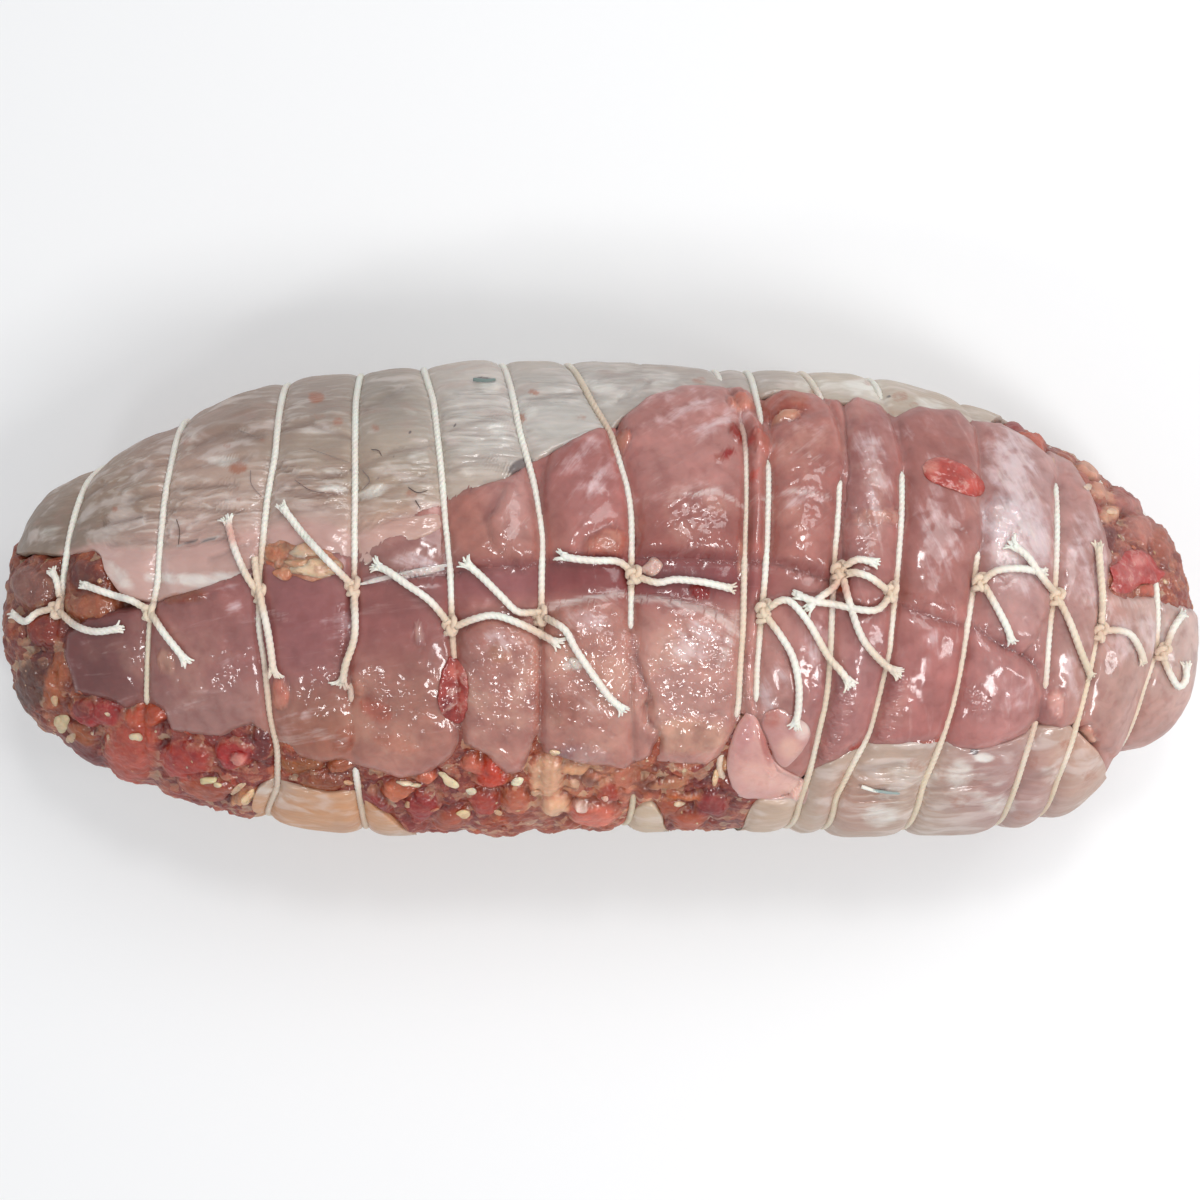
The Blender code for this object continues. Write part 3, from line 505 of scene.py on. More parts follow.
meat = {
    "rings": 470, "columns": 206, "under": -6.0, "bulgeReach": 9.5, "lumpHeight": 0.55, "lumpSize": 14,
    "fineHeight": 0.16, "fineSize": 2.6, "swell": 0.22, "overhang": 1.2, "lastAngle": 93, "bulgeFullness": 0.8,
    "base": (176, 122, 114),  # the colour where no wash reaches
    # how closely its rings and columns stand: from, to, how many for each millimetre or degree
    "ringSpans": ((-150, -146, 1.2), (-146, -136, 0.9), (-136, 118, 1.25), (118, 146, 1.5), (146, 150, 3)),
    "columnSpans": ((-180, -140, 0.3), (-140, -100, 0.6), (-100, -62, 0.8), (-62, 72, 1.45), (72, 100, 0.6),
                    (100, 180, 0.25)),
    "washes": (  # u, v, half width, half height, colour seen there
        # the dark washes at the left end, such as the one at (100, 655), are painted shade
        (100, 655, 50, 45, (110, 72, 72)), (200, 640, 60, 50, (156, 108, 104)), (300, 620, 50, 55, (148, 98, 99)),
        (400, 620, 50, 50, (142, 92, 90)), (230, 710, 60, 25, (162, 124, 118)), (310, 720, 45, 30, (156, 106, 88)),
        (400, 700, 50, 40, (172, 122, 108)), (500, 580, 60, 14, (142, 92, 94)), (600, 578, 60, 15, (126, 62, 64)),
        (500, 690, 45, 50, (172, 122, 112)), (590, 680, 45, 60, (182, 132, 120)),
        (690, 680, 50, 50, (190, 144, 134)), (690, 580, 60, 18, (130, 70, 74)), (500, 530, 40, 28, (172, 116, 104)),
        (590, 480, 40, 40, (166, 110, 106)), (690, 450, 60, 45, (180, 130, 124)),
        (515, 515, 22, 26, (196, 152, 146)), (690, 530, 60, 22, (156, 98, 92)), (800, 470, 35, 70, (172, 114, 106)),
        (872, 500, 30, 90, (166, 116, 112)), (940, 500, 40, 90, (164, 112, 106)),
        (1018, 530, 35, 80, (184, 148, 144)), (1080, 560, 25, 70, (186, 146, 140)),
        (850, 680, 50, 45, (172, 122, 120)), (930, 690, 50, 45, (172, 112, 108)),
        (1000, 690, 40, 45, (180, 130, 126)), (1130, 660, 50, 60, (186, 150, 140)),
        (775, 680, 25, 40, (190, 142, 134)), (1165, 640, 26, 40, (210, 188, 180)),
        (400, 560, 40, 15, (170, 132, 124))),
    "sinew": (  # white streaks: points, half width, strength
        (((547, 607), (570, 602), (592, 598), (624, 594)), 6, 0.8),
        (((635, 598), (660, 600), (681, 604), (705, 610), (721, 617), (740, 636)), 6, 0.8),
        (((269, 612), (290, 618)), 7, 0.5), (((736, 615), (728, 640), (722, 660)), 9, 0.6),
        (((686, 500), (715, 497), (745, 508)), 5, 0.7),
        (((752, 500), (790, 494), (830, 500)), 5, 0.6), (((366, 582), (400, 577), (445, 570)), 5, 0.75),
        (((400, 573), (435, 569)), 4, 0.9), (((566, 662), (580, 662)), 5, 0.9), (((66, 650), (80, 690)), 4, 0.45),
        (((88, 620), (150, 606)), 3, 0.4), (((470, 640), (500, 628)), 3, 0.4), (((560, 620), (600, 606)), 3, 0.5),
        (((1000, 480), (1030, 500)), 12, 0.5), (((1000, 520), (1040, 540)), 16, 0.6),
        (((860, 470), (890, 500)), 7, 0.4), (((640, 470), (670, 500)), 8, 0.35), (((780, 450), (830, 470)), 9, 0.4),
        (((1080, 600), (1140, 605)), 8, 0.5), (((1150, 640), (1180, 620)), 10, 0.5),
        (((280, 740), (320, 730), (345, 740)), 9, 0.5), (((660, 640), (700, 650)), 6, 0.35),
        (((900, 470), (915, 500)), 6, 0.4), (((500, 545), (530, 520)), 4, 0.4), (((120, 700), (150, 690)), 4, 0.4),
        (((560, 470), (590, 455)), 5, 0.45)),
    # dark red streaks: blood, and painted shade in the groove from (906, 592) to (950, 607)
    "bloodAndGrooveShade": (
        (((906, 592), (928, 602), (950, 607)), 4, 0.6), (((540, 600), (541, 750)), 4, 0.4),
        (((455, 640), (460, 735)), 4, 0.5), (((630, 610), (636, 690)), 3, 0.5), (((750, 640), (746, 700)), 3, 0.5),
        (((170, 620), (168, 700)), 3, 0.3), (((262, 620), (266, 720)), 4, 0.4), (((843, 520), (840, 600)), 3, 0.4),
        (((905, 460), (903, 560)), 3, 0.35), (((983, 450), (982, 560)), 3, 0.4),
        (((1058, 500), (1057, 590)), 3, 0.35)),
    "shadedSeams": (  # painted shade: dark lines where one muscle lies on another
        (((368, 582), (400, 578), (433, 572), (465, 567), (487, 564), (520, 565), (541, 562), (600, 559),
          (632, 557), (646, 554), (690, 556), (742, 558), (771, 559), (800, 567), (830, 575), (850, 582)), 6, 0.95),
        (((880, 599), (910, 609), (944, 621), (974, 628), (1000, 643), (1020, 653), (1040, 665)), 5, 0.8),
        (((357, 566), (391, 552), (433, 534)), 6, 0.6), (((487, 520), (494, 508), (498, 500)), 5, 0.7),
        (((544, 640), (544, 740)), 5, 0.5), (((458, 660), (458, 735)), 5, 0.5),
        (((633, 640), (641, 672), (649, 697), (642, 706), (658, 728), (651, 745), (653, 758)), 3, 0.75),
        (((1048, 690), (1042, 722)), 5, 0.6), (((545, 480), (545, 555)), 5, 0.5),
        (((84, 620), (128, 614), (171, 602), (240, 588)), 5, 0.5)),
    "bits": (  # blood, fat and small scraps on the muscles: middle, half sizes in pixels, turn, height, colour
        (724, 461, 11, 4, -25, 0.0, (150, 36, 36)), (754, 478, 4, 6, 10, 0.1, (176, 56, 52)),
        (736, 437, 9, 7, 30, 0.5, (140, 44, 34)), (761, 443, 14, 9, 30, 0.6, (172, 84, 80)),
        (741, 407, 14, 8, 0, 0.6, (198, 118, 98)), (783, 410, 26, 14, 0, 0.3, (166, 86, 70)),
        (786, 423, 13, 5, -12, 0.7, (206, 152, 126)), (608, 544, 22, 12, -14, 0.9, (182, 112, 98)),
        (877, 518, 27, 7, -6, 0.5, (190, 138, 126)), (701, 592, 11, 7, 30, 0.5, (136, 44, 32)),
        (622, 440, 9, 8, 60, 0.6, (176, 108, 94)), (859, 747, 9, 6, 0, 0.4, (168, 58, 38)),
        (928, 742, 16, 4, 0, 0.3, (178, 70, 50)), (842, 586, 6, 5, 0, 0.3, (200, 90, 50)),
        (168, 660, 9, 12, -20, 0.3, (176, 128, 114)), (281, 693, 9, 14, 10, 0.5, (194, 122, 106)),
        (1056, 702, 7, 14, 10, 0.3, (214, 160, 152)), (1091, 738, 6, 9, 0, 0.8, (236, 190, 170)),
        (186, 597, 24, 5, -6, 0.6, (150, 90, 62)), (420, 634, 4, 10, -10, 0.3, (166, 128, 126)),
        (377, 707, 20, 10, 30, 0.1, (168, 98, 84)), (398, 742, 24, 9, 14, 0.1, (168, 102, 88)),
        (346, 738, 11, 12, 0, 0.2, (140, 66, 50)), (356, 688, 9, 8, 0, 0.4, (184, 120, 104)),
        (488, 764, 14, 8, 0, 0.3, (190, 110, 96)), (500, 652, 12, 10, 0, 0.2, (190, 136, 116)),
        (580, 748, 30, 8, 6, 0.4, (160, 122, 122)), (744, 560, 6, 22, 0, 0.2, (196, 140, 124)),
        (560, 706, 20, 16, 0, 0.2, (168, 112, 100)), (690, 730, 40, 18, 0, 0.3, (194, 146, 128)),
        (1004, 522, 30, 20, 40, 0.2, (200, 170, 170)), (318, 512, 20, 6, 0, 0, (196, 150, 144))),
    "stain": (
        (((455, 650), (456, 668)), 8, 0.7), (((541, 650), (540, 748)), 7, 0.6), (((350, 700), (352, 745)), 10, 0.4),
        (((310, 735), (340, 745)), 9, 0.5), (((385, 700), (380, 740)), 12, 0.3),
        (((425, 690), (432, 735)), 10, 0.3), (((500, 740), (515, 755)), 8, 0.5),
        (((1085, 724), (1094, 735)), 5, 0.8), (((270, 700), (272, 730)), 8, 0.5),
        (((1066, 474), (1080, 500)), 7, 0.4), (((560, 735), (600, 748)), 8, 0.4),
        (((660, 745), (700, 748)), 7, 0.4)),
    "sheenVeils": (  # where a whitish bloom lies on the muscle, together with a painted sheen
        (870, 480, 26, 60, 0, 0.55), (940, 520, 30, 80, 0, 0.5), (1018, 540, 38, 60, 0, 1.0),
        (1010, 470, 30, 40, 0, 0.8), (1085, 560, 22, 60, 0, 0.7), (690, 420, 60, 30, 0, 0.45),
        (680, 500, 50, 12, -10, 0.4), (800, 500, 36, 12, 0, 0.5), (800, 440, 30, 30, 0, 0.3),
        (505, 530, 14, 20, 0, 0.3), (590, 470, 34, 34, -40, 0.5), (700, 640, 40, 24, 0, 0.6),
        (590, 620, 34, 16, 0, 0.6), (495, 640, 34, 16, 0, 0.5), (590, 690, 34, 40, 0, 0.3),
        (775, 690, 18, 30, 0, 0.7), (820, 650, 16, 40, 0, 0.6), (1140, 640, 40, 30, 0, 0.7),
        (1080, 660, 26, 50, 0, 0.5), (1010, 690, 26, 30, 0, 0.4), (420, 560, 40, 10, -5, 0.7),
        (340, 640, 18, 50, 0, 0.25), (235, 640, 14, 60, 0, 0.25), (90, 660, 30, 40, 0, 0.15),
        (300, 725, 30, 20, 0, 0.35), (185, 700, 40, 16, 0, 0.35), (400, 640, 30, 40, 0, 0.15),
        (900, 430, 30, 20, 0, 0.4), (940, 640, 30, 20, 0, 0.3)),
    "ribbed": (  # rows of small wet ridges: points, half width, strength
        (((842, 694), (836, 728), (826, 756)), 9, 1.0), (((898, 684), (890, 712), (882, 738)), 8, 1.0),
        (((744, 640), (742, 700)), 5, 0.7), (((965, 690), (975, 700)), 8, 0.5), (((536, 650), (536, 740)), 7, 0.7),
        (((630, 620), (636, 680)), 7, 0.7), (((344, 610), (342, 650)), 5, 0.8)),
    "grainy": (  # where the surface is rough and sparkling: middle and half sizes
        (200, 660, 50, 50, 0, 0.6), (130, 660, 40, 45, 0, 0.5), (500, 690, 55, 75, 0, 1.0),
        (590, 680, 55, 80, 0, 1.0), (690, 680, 60, 80, 0, 0.9), (350, 700, 60, 50, 0, 0.5),
        (400, 720, 50, 50, 0, 0.7), (860, 490, 30, 90, 0, 0.7), (830, 700, 30, 70, 0, 0.6),
        (890, 690, 20, 50, 0, 0.6), (690, 520, 60, 30, 0, 0.7), (800, 480, 40, 80, 0, 0.6),
        (1010, 530, 50, 70, 0, 0.5), (480, 540, 40, 25, 0, 0.5)),
}


def muscleHeight(uv):
    height = np.full(uv.shape[:-1], meat["under"])
    grain = np.full(uv.shape[:-1], 60.0)
    for rise, edge, fall, way, outline in muscles:
        inside = distanceIn(outline, uv) / photo["perMm"] + meat["overhang"]
        t = np.clip(inside / edge, 0, 1)
        here = np.where(inside < 0, meat["under"], rise - (rise + fall) * (1 - np.sqrt(1 - (1 - t) ** 2)))
        grain = np.where(here > height, way, grain)
        height = np.maximum(height, here)
    return height, grain


def makeMeat():
    made, ring, column = ballRings("meatRoll", meat["rings"], meat["columns"])
    x = spread(meat["rings"] + 2, meat["ringSpans"])[ring]
    angle = spread(meat["columns"] + 1, meat["columnSpans"])[column]
    p = roundForm(x, angle)
    uv = seenAt(p)
    wobble = np.stack([lumps(p, 7, 5), lumps(p, 7, 9)], -1) * 3.5
    height, grain = muscleHeight(uv + wobble)
    allMeat = 30 * ease(112, 124, x) + 85 * ease(132, 142, x)  # at the right end it reaches right under
    limit = meat["lastAngle"] + np.where(angle < 0, allMeat, 0)
    t = np.clip((limit - np.abs(angle)) / 8, 0, 1)
    height = meat["under"] + (height - meat["under"]) * np.sqrt(1 - (1 - t) ** 2)
    height = height + meat["lumpHeight"] * lumps(p, meat["lumpSize"], 8)
    height = pulledIn(x, angle, height, meat["bulgeReach"], meat["bulgeFullness"])
    height = height + meat["fineHeight"] * lumps(p, meat["fineSize"], 4)
    height, tone, bitty = pressIn(p, uv, height, washed(uv, meat["base"], meat["washes"]), meat["bits"], 0, 0.2)
    co = standUp(x, angle, height)
    made = moveTo(made, co)
    co = co + normalsOf(made) * meat["swell"]  # swollen a little, which closes the creases
    co[:, 2] = np.maximum(co[:, 2], roast["floorGap"])
    moveTo(made, co)
    paint(made, "tone", np.clip(tone - film["haze"], 0.004, 0.9))
    c, s = np.cos(np.radians(grain)), np.sin(np.radians(grain))
    flat = np.stack([p[:, 0], -p[:, 1]], -1)
    fibres = np.stack([flat[:, 0] * c + flat[:, 1] * s, -flat[:, 0] * s + flat[:, 1] * c, 0 * height], -1) * mm
    layer = made.data.attributes.new(name="grain", type="FLOAT_VECTOR", domain="POINT")
    layer.data.foreach_set("vector", fibres.astype(np.float32).ravel())
    paint(made, "marks", np.stack([streaked(uv, meat[mark]) for mark in ("sinew", "bloodAndGrooveShade", "stain")], -1))
    # painted shade: darker where the meat lies low, and along the seams between muscles
    hollowShade = np.maximum(1 - ease(-3.8, -0.2, height), streaked(uv, meat["shadedSeams"]))
    grainy = np.maximum(spotted(uv, meat["grainy"]), bitty)
    # four masks: rough sparkling zones, painted shade of hollows and seams, whitish bloom with painted sheen, and
    # wet ribs
    paint(made, "wet", np.stack([grainy, hollowShade, spotted(uv, meat["sheenVeils"]), streaked(uv, meat["ribbed"])], -1))
    return made


# Skin: a sheet with a thick rolled lip, wrapped round the back and underneath

skin = {
    "rings": 430, "outer": 176, "lip": 10, "inner": 16, "span": (-147.5, 139), "thickness": 2.4,
    "topEdge": ((0, 552), (64, 551), (92, 546), (100, 553), (106, 570), (116, 587), (130, 597), (150, 599),
                (171, 595), (209, 588), (236, 582), (254, 579), (266, 560), (300, 550), (336, 560), (350, 567),
                (362, 563), (391, 547), (433, 528), (452, 519), (472, 512), (486, 508), (497, 497), (505, 486),
                (512, 472), (523, 463), (540, 455), (561, 447), (573, 442), (589, 434), (600, 430), (611, 426),
                (629, 414), (650, 397), (674, 392), (699, 387), (738, 389), (760, 394), (789, 389), (822, 397),
                (840, 402), (859, 400), (886, 411), (902, 421), (913, 413), (949, 414), (970, 417), (993, 432),
                (1010, 440), (1200, 470)),
    "frontEdge": ((0, 900), (248, 900), (254, 797), (262, 787), (275, 784), (300, 790), (330, 797), (352, 796),
                  (380, 812), (400, 822), (420, 832), (440, 900), (615, 900), (626, 824), (640, 804), (650, 801),
                  (667, 815), (678, 900), (730, 900), (740, 806), (760, 801), (790, 803), (800, 800), (806, 790),
                  (812, 772), (825, 764), (856, 751), (880, 747), (912, 744), (940, 743), (972, 750), (991, 749),
                  (1008, 743), (1029, 736), (1060, 728), (1080, 735), (1095, 750), (1104, 765), (1112, 900),
                  (1200, 900)),
    "frontRest": -104, "bulgeReach": 6.0, "bulgeFullness": 0.85, "seat": 2.2, "foldHeight": 0.75, "lipReach": 1.25,
    "beyond": ((95, 66), (106, 92), (122, 112), (150, 130)),  # the top edge past the right end of the outline
    "base": (178, 160, 146),
    "paintedAbove": 20,  # the marks stay on the side that the photograph shows, above this height
    "ringSpans": ((-147.5, -138, 1.4), (-138, 120, 1.0), (120, 139, 1.2)),
    "shareSpans": ((0, 0.02, 5), (0.02, 0.30, 1.6), (0.30, 0.80, 0.55), (0.80, 0.98, 1.0), (0.98, 1, 5)),
    "washes": (
        # the darker washes at the left end, such as the one at (60, 530), are painted shade
        (60, 530, 40, 30, (132, 116, 104)), (110, 490, 50, 30, (150, 128, 112)),
        (180, 440, 50, 22, (150, 124, 112)), (200, 480, 50, 30, (192, 164, 150)),
        (130, 570, 34, 24, (210, 180, 170)), (210, 540, 60, 22, (192, 160, 150)),
        (250, 420, 40, 24, (154, 132, 120)), (310, 400, 40, 24, (154, 138, 128)),
        (320, 450, 50, 30, (164, 146, 132)), (310, 530, 50, 20, (190, 160, 152)),
        (290, 490, 40, 20, (176, 152, 140)), (385, 400, 30, 24, (146, 136, 126)),
        (420, 440, 50, 40, (172, 160, 148)), (380, 480, 40, 30, (170, 148, 130)),
        (400, 525, 50, 18, (196, 158, 140)), (480, 420, 40, 40, (200, 194, 188)),
        (470, 490, 40, 18, (190, 172, 158)), (560, 410, 40, 30, (190, 186, 180)),
        (620, 385, 50, 16, (188, 182, 176)), (720, 378, 60, 12, (176, 164, 156)),
        (840, 388, 50, 14, (198, 184, 168)), (940, 405, 50, 12, (190, 172, 154)),
        (330, 812, 90, 15, (202, 146, 104)), (650, 815, 30, 15, (206, 180, 152)),
        (770, 815, 30, 15, (196, 168, 146)), (900, 785, 60, 30, (186, 160, 144)),
        (1000, 780, 50, 35, (174, 134, 130)), (1080, 760, 30, 30, (196, 160, 144)),
        (860, 800, 24, 20, (180, 132, 116))),
    "wrinkled": (  # where the skin is gathered in fine folds: middle, half sizes, turn and strength
        (190, 515, 90, 30, -6, 1.0), (305, 480, 60, 30, 0, 1.0), (400, 490, 50, 40, -14, 0.8),
        (150, 470, 60, 24, -20, 0.7), (310, 410, 60, 24, -6, 0.6), (480, 430, 60, 50, -14, 0.7),
        (600, 385, 90, 24, -6, 0.6), (930, 790, 90, 30, 0, 0.6), (880, 800, 30, 26, 0, 0.9),
        (320, 812, 70, 12, 8, 0.1)),
    "raw": (  # the smooth pink underside of the skin, turned out along its edge
        (60, 552), (92, 543), (120, 545), (150, 551), (178, 546), (205, 540), (232, 536), (262, 528), (300, 520),
        (330, 524), (352, 534), (392, 520), (440, 503), (452, 519), (433, 530), (391, 549), (362, 566), (330, 590),
        (262, 610), (100, 620), (80, 580)),
    "white": (  # middle, half sizes, turn and strength
        (44, 532, 22, 10, -20, 0.4), (418, 457, 14, 10, 0, 0.5), (500, 430, 14, 12, 0, 0.6),
        (490, 386, 14, 9, 0, 0.6), (560, 400, 16, 10, 0, 0.5), (600, 385, 22, 9, 0, 0.6), (660, 378, 24, 8, 0, 0.6),
        (470, 470, 10, 12, 0, 0.4), (530, 410, 12, 9, 0, 0.5), (860, 385, 26, 8, 0, 0.8),
        (930, 403, 22, 7, 10, 0.7), (915, 772, 34, 16, 0, 0.55), (985, 757, 12, 6, 0, 0.8),
        (1000, 805, 22, 14, 0, 0.6), (880, 815, 24, 14, 0, 0.7), (1050, 775, 14, 12, 0, 0.5),
        (372, 492, 20, 7, -15, 0.7), (222, 460, 24, 7, 4, 0.7), (300, 812, 18, 8, 10, 0.3),
        (960, 775, 18, 20, 0, 0.6), (130, 505, 14, 7, -25, 0.35), (330, 470, 20, 6, 4, 0.5),
        (334, 488, 18, 5, 4, 0.8), (190, 436, 12, 7, -30, 0.4), (240, 436, 14, 12, -10, 0.4),
        (320, 430, 24, 6, 0, 0.5), (410, 410, 10, 16, 20, 0.3), (118, 574, 24, 10, 42, 0.6),
        (195, 480, 20, 6, 0, 0.5)),
    "bands": (  # white places that follow a line: points, half width, strength
        (((178, 546), (200, 541), (222, 537)), 2.5, 0.8), (((150, 577), (200, 580), (255, 573)), 8, 0.75),
        (((255, 790), (285, 798)), 8, 0.5), (((380, 545), (440, 524)), 5, 0.35),
        (((420, 380), (460, 400)), 10, 0.3), (((880, 800), (950, 800), (1000, 790)), 12, 0.35),
        (((600, 405), (640, 392)), 8, 0.5), (((800, 382), (850, 388), (890, 400)), 8, 0.6),
        (((470, 500), (500, 485)), 6, 0.4)),
    "creases": (  # wrinkles pressed into the skin, also painted darker as shade: points, half width, strength
        (((130, 500), (180, 488), (238, 486)), 3, 0.8), (((105, 524), (150, 514), (190, 508), (244, 512)), 3, 0.7),
        (((178, 545), (228, 537)), 3, 0.9), (((196, 446), (226, 434), (262, 436)), 4, 0.7),
        (((284, 430), (310, 424), (350, 438)), 3, 0.7),
        (((268, 462), (305, 478), (348, 474)), 3, 0.9), (((290, 492), (325, 497), (350, 491)), 3, 0.8),
        (((280, 515), (345, 504)), 3, 0.6),
        (((358, 500), (400, 484), (438, 476)), 3, 0.6), (((360, 470), (395, 452), (436, 446)), 3, 0.5),
        (((366, 410), (402, 392)), 3, 0.5),
        (((446, 470), (480, 460), (510, 470)), 3, 0.5), (((452, 430), (490, 418), (520, 424)), 3, 0.4),
        (((530, 400), (580, 392)), 3, 0.5),
        (((356, 530), (400, 516), (444, 508)), 3, 0.6), (((140, 470), (170, 462)), 3, 0.5),
        (((176, 470), (250, 458)), 3, 0.5),
        (((210, 560), (250, 545), (268, 540)), 3, 0.6), (((110, 545), (150, 540), (176, 545)), 3, 0.6),
        (((80, 500), (106, 486)), 3, 0.6), (((620, 400), (650, 385)), 3, 0.6), (((600, 380), (640, 370)), 3, 0.4),
        (((160, 430), (184, 424)), 4, 0.6), (((860, 770), (900, 764)), 4, 0.5), (((930, 790), (990, 776)), 3, 0.4),
        (((1010, 790), (1050, 770)), 4, 0.5)),
    "rust": (
        (238, 467, 12, 8, 0, 0.95), (240, 499, 6, 5, 0, 0.7), (228, 445, 6, 5, 0, 0.6), (317, 397, 10, 7, 0, 0.9),
        (338, 421, 7, 6, 0, 0.7), (376, 427, 7, 6, 0, 0.6), (413, 494, 10, 7, 0, 0.55), (325, 493, 20, 4, 0, 0.6),
        (534, 392, 7, 5, 0, 0.8), (522, 417, 6, 6, 0, 0.95), (580, 417, 9, 6, 0, 0.5), (115, 509, 5, 4, 0, 0.7),
        (185, 596, 20, 5, 0, 0.8), (186, 440, 9, 6, 0, 0.6), (200, 470, 6, 5, 0, 0.5),
        (262, 440, 7, 5, 0, 0.5), (320, 415, 9, 5, 0, 0.5), (425, 470, 5, 4, 0, 0.4), (700, 380, 10, 5, 0, 0.6),
        (815, 392, 8, 5, 0, 0.6), (870, 382, 10, 5, 0, 0.6), (900, 396, 10, 6, 0, 0.7), (955, 412, 10, 5, 20, 0.6),
        (915, 404, 8, 4, 0, 0.5), (880, 790, 12, 10, 0, 0.5), (915, 765, 14, 10, 20, 0.6),
        (960, 800, 14, 12, 0, 0.5), (1030, 760, 12, 12, 0, 0.6), (1020, 815, 14, 7, 0, 0.5),
        (850, 775, 14, 8, 0, 0.5), (1070, 745, 12, 8, 0, 0.6), (1090, 775, 10, 8, 0, 0.6),
        (975, 780, 12, 14, 0, 0.4), (320, 806, 26, 7, 12, 0.3), (376, 820, 20, 7, 10, 0.35),
        (1000, 770, 12, 9, 0, 0.4), (150, 470, 8, 5, 0, 0.4), (90, 540, 7, 4, 0, 0.4)),
    # dark dots, and painted shade: the fold under the skin's edge at (522, 466) and the thin dark crease lines
    "darkDotsAndShade": (
        (522, 466, 17, 9, -25, 0.9), (486, 379, 13, 3, 8, 0.9), (411, 431, 2.2, 2.2, 0, 1.0),
        (455, 424, 2.2, 2.2, 0, 1.0), (378, 479, 2, 2, 0, 1.0), (880, 392, 2.2, 2.2, 0, 1.0),
        (889, 396, 2.2, 2.2, 0, 1.0), (975, 751, 5, 4, 0, 1.0), (885, 791, 12, 2.5, 5, 0.8),
        (203, 540, 26, 2.5, -8, 0.7), (350, 470, 2, 2, 0, 0.9), (395, 455, 2, 2, 0, 0.8),
        (300, 470, 20, 2, -5, 0.4), (440, 500, 14, 2.2, -10, 0.4), (132, 535, 20, 2.2, -10, 0.4),
        (250, 520, 22, 2, -6, 0.4), (310, 455, 18, 1.8, -12, 0.35), (215, 425, 14, 1.8, -12, 0.35)),
}


def edgeAngles(x, edge, rest):  # angle at which each ring meets an edge drawn on the photograph
    tries = np.arange(-88, 88.5, 0.5)
    xx, aa = np.meshgrid(x, tries, indexing="ij")
    uv = seenAt(roundForm(xx, aa))
    line = np.array(edge, float)
    above = uv[..., 1] < np.interp(uv[..., 0], line[:, 0], line[:, 1])
    first = np.argmax(above, axis=1)
    found = tries[first]
    return np.where(above.any(axis=1) & (first > 0), found, rest)


def wander(x, angle):  # how far the skin's edges stray along the roast
    low = ease(62, 92, np.abs(angle))
    return (0.5 + 2.6 * low) * lumps(np.stack([x * 0.5, angle * 0.55, 0 * x], -1), 6, 47, 2)


def rawAt(p, uv):  # where the skin's underside is turned out
    return ease(-0.5, 0.5, distanceIn(skin["raw"], uv + 3 * lumps(p, 5, 44)[:, None]) / 6)


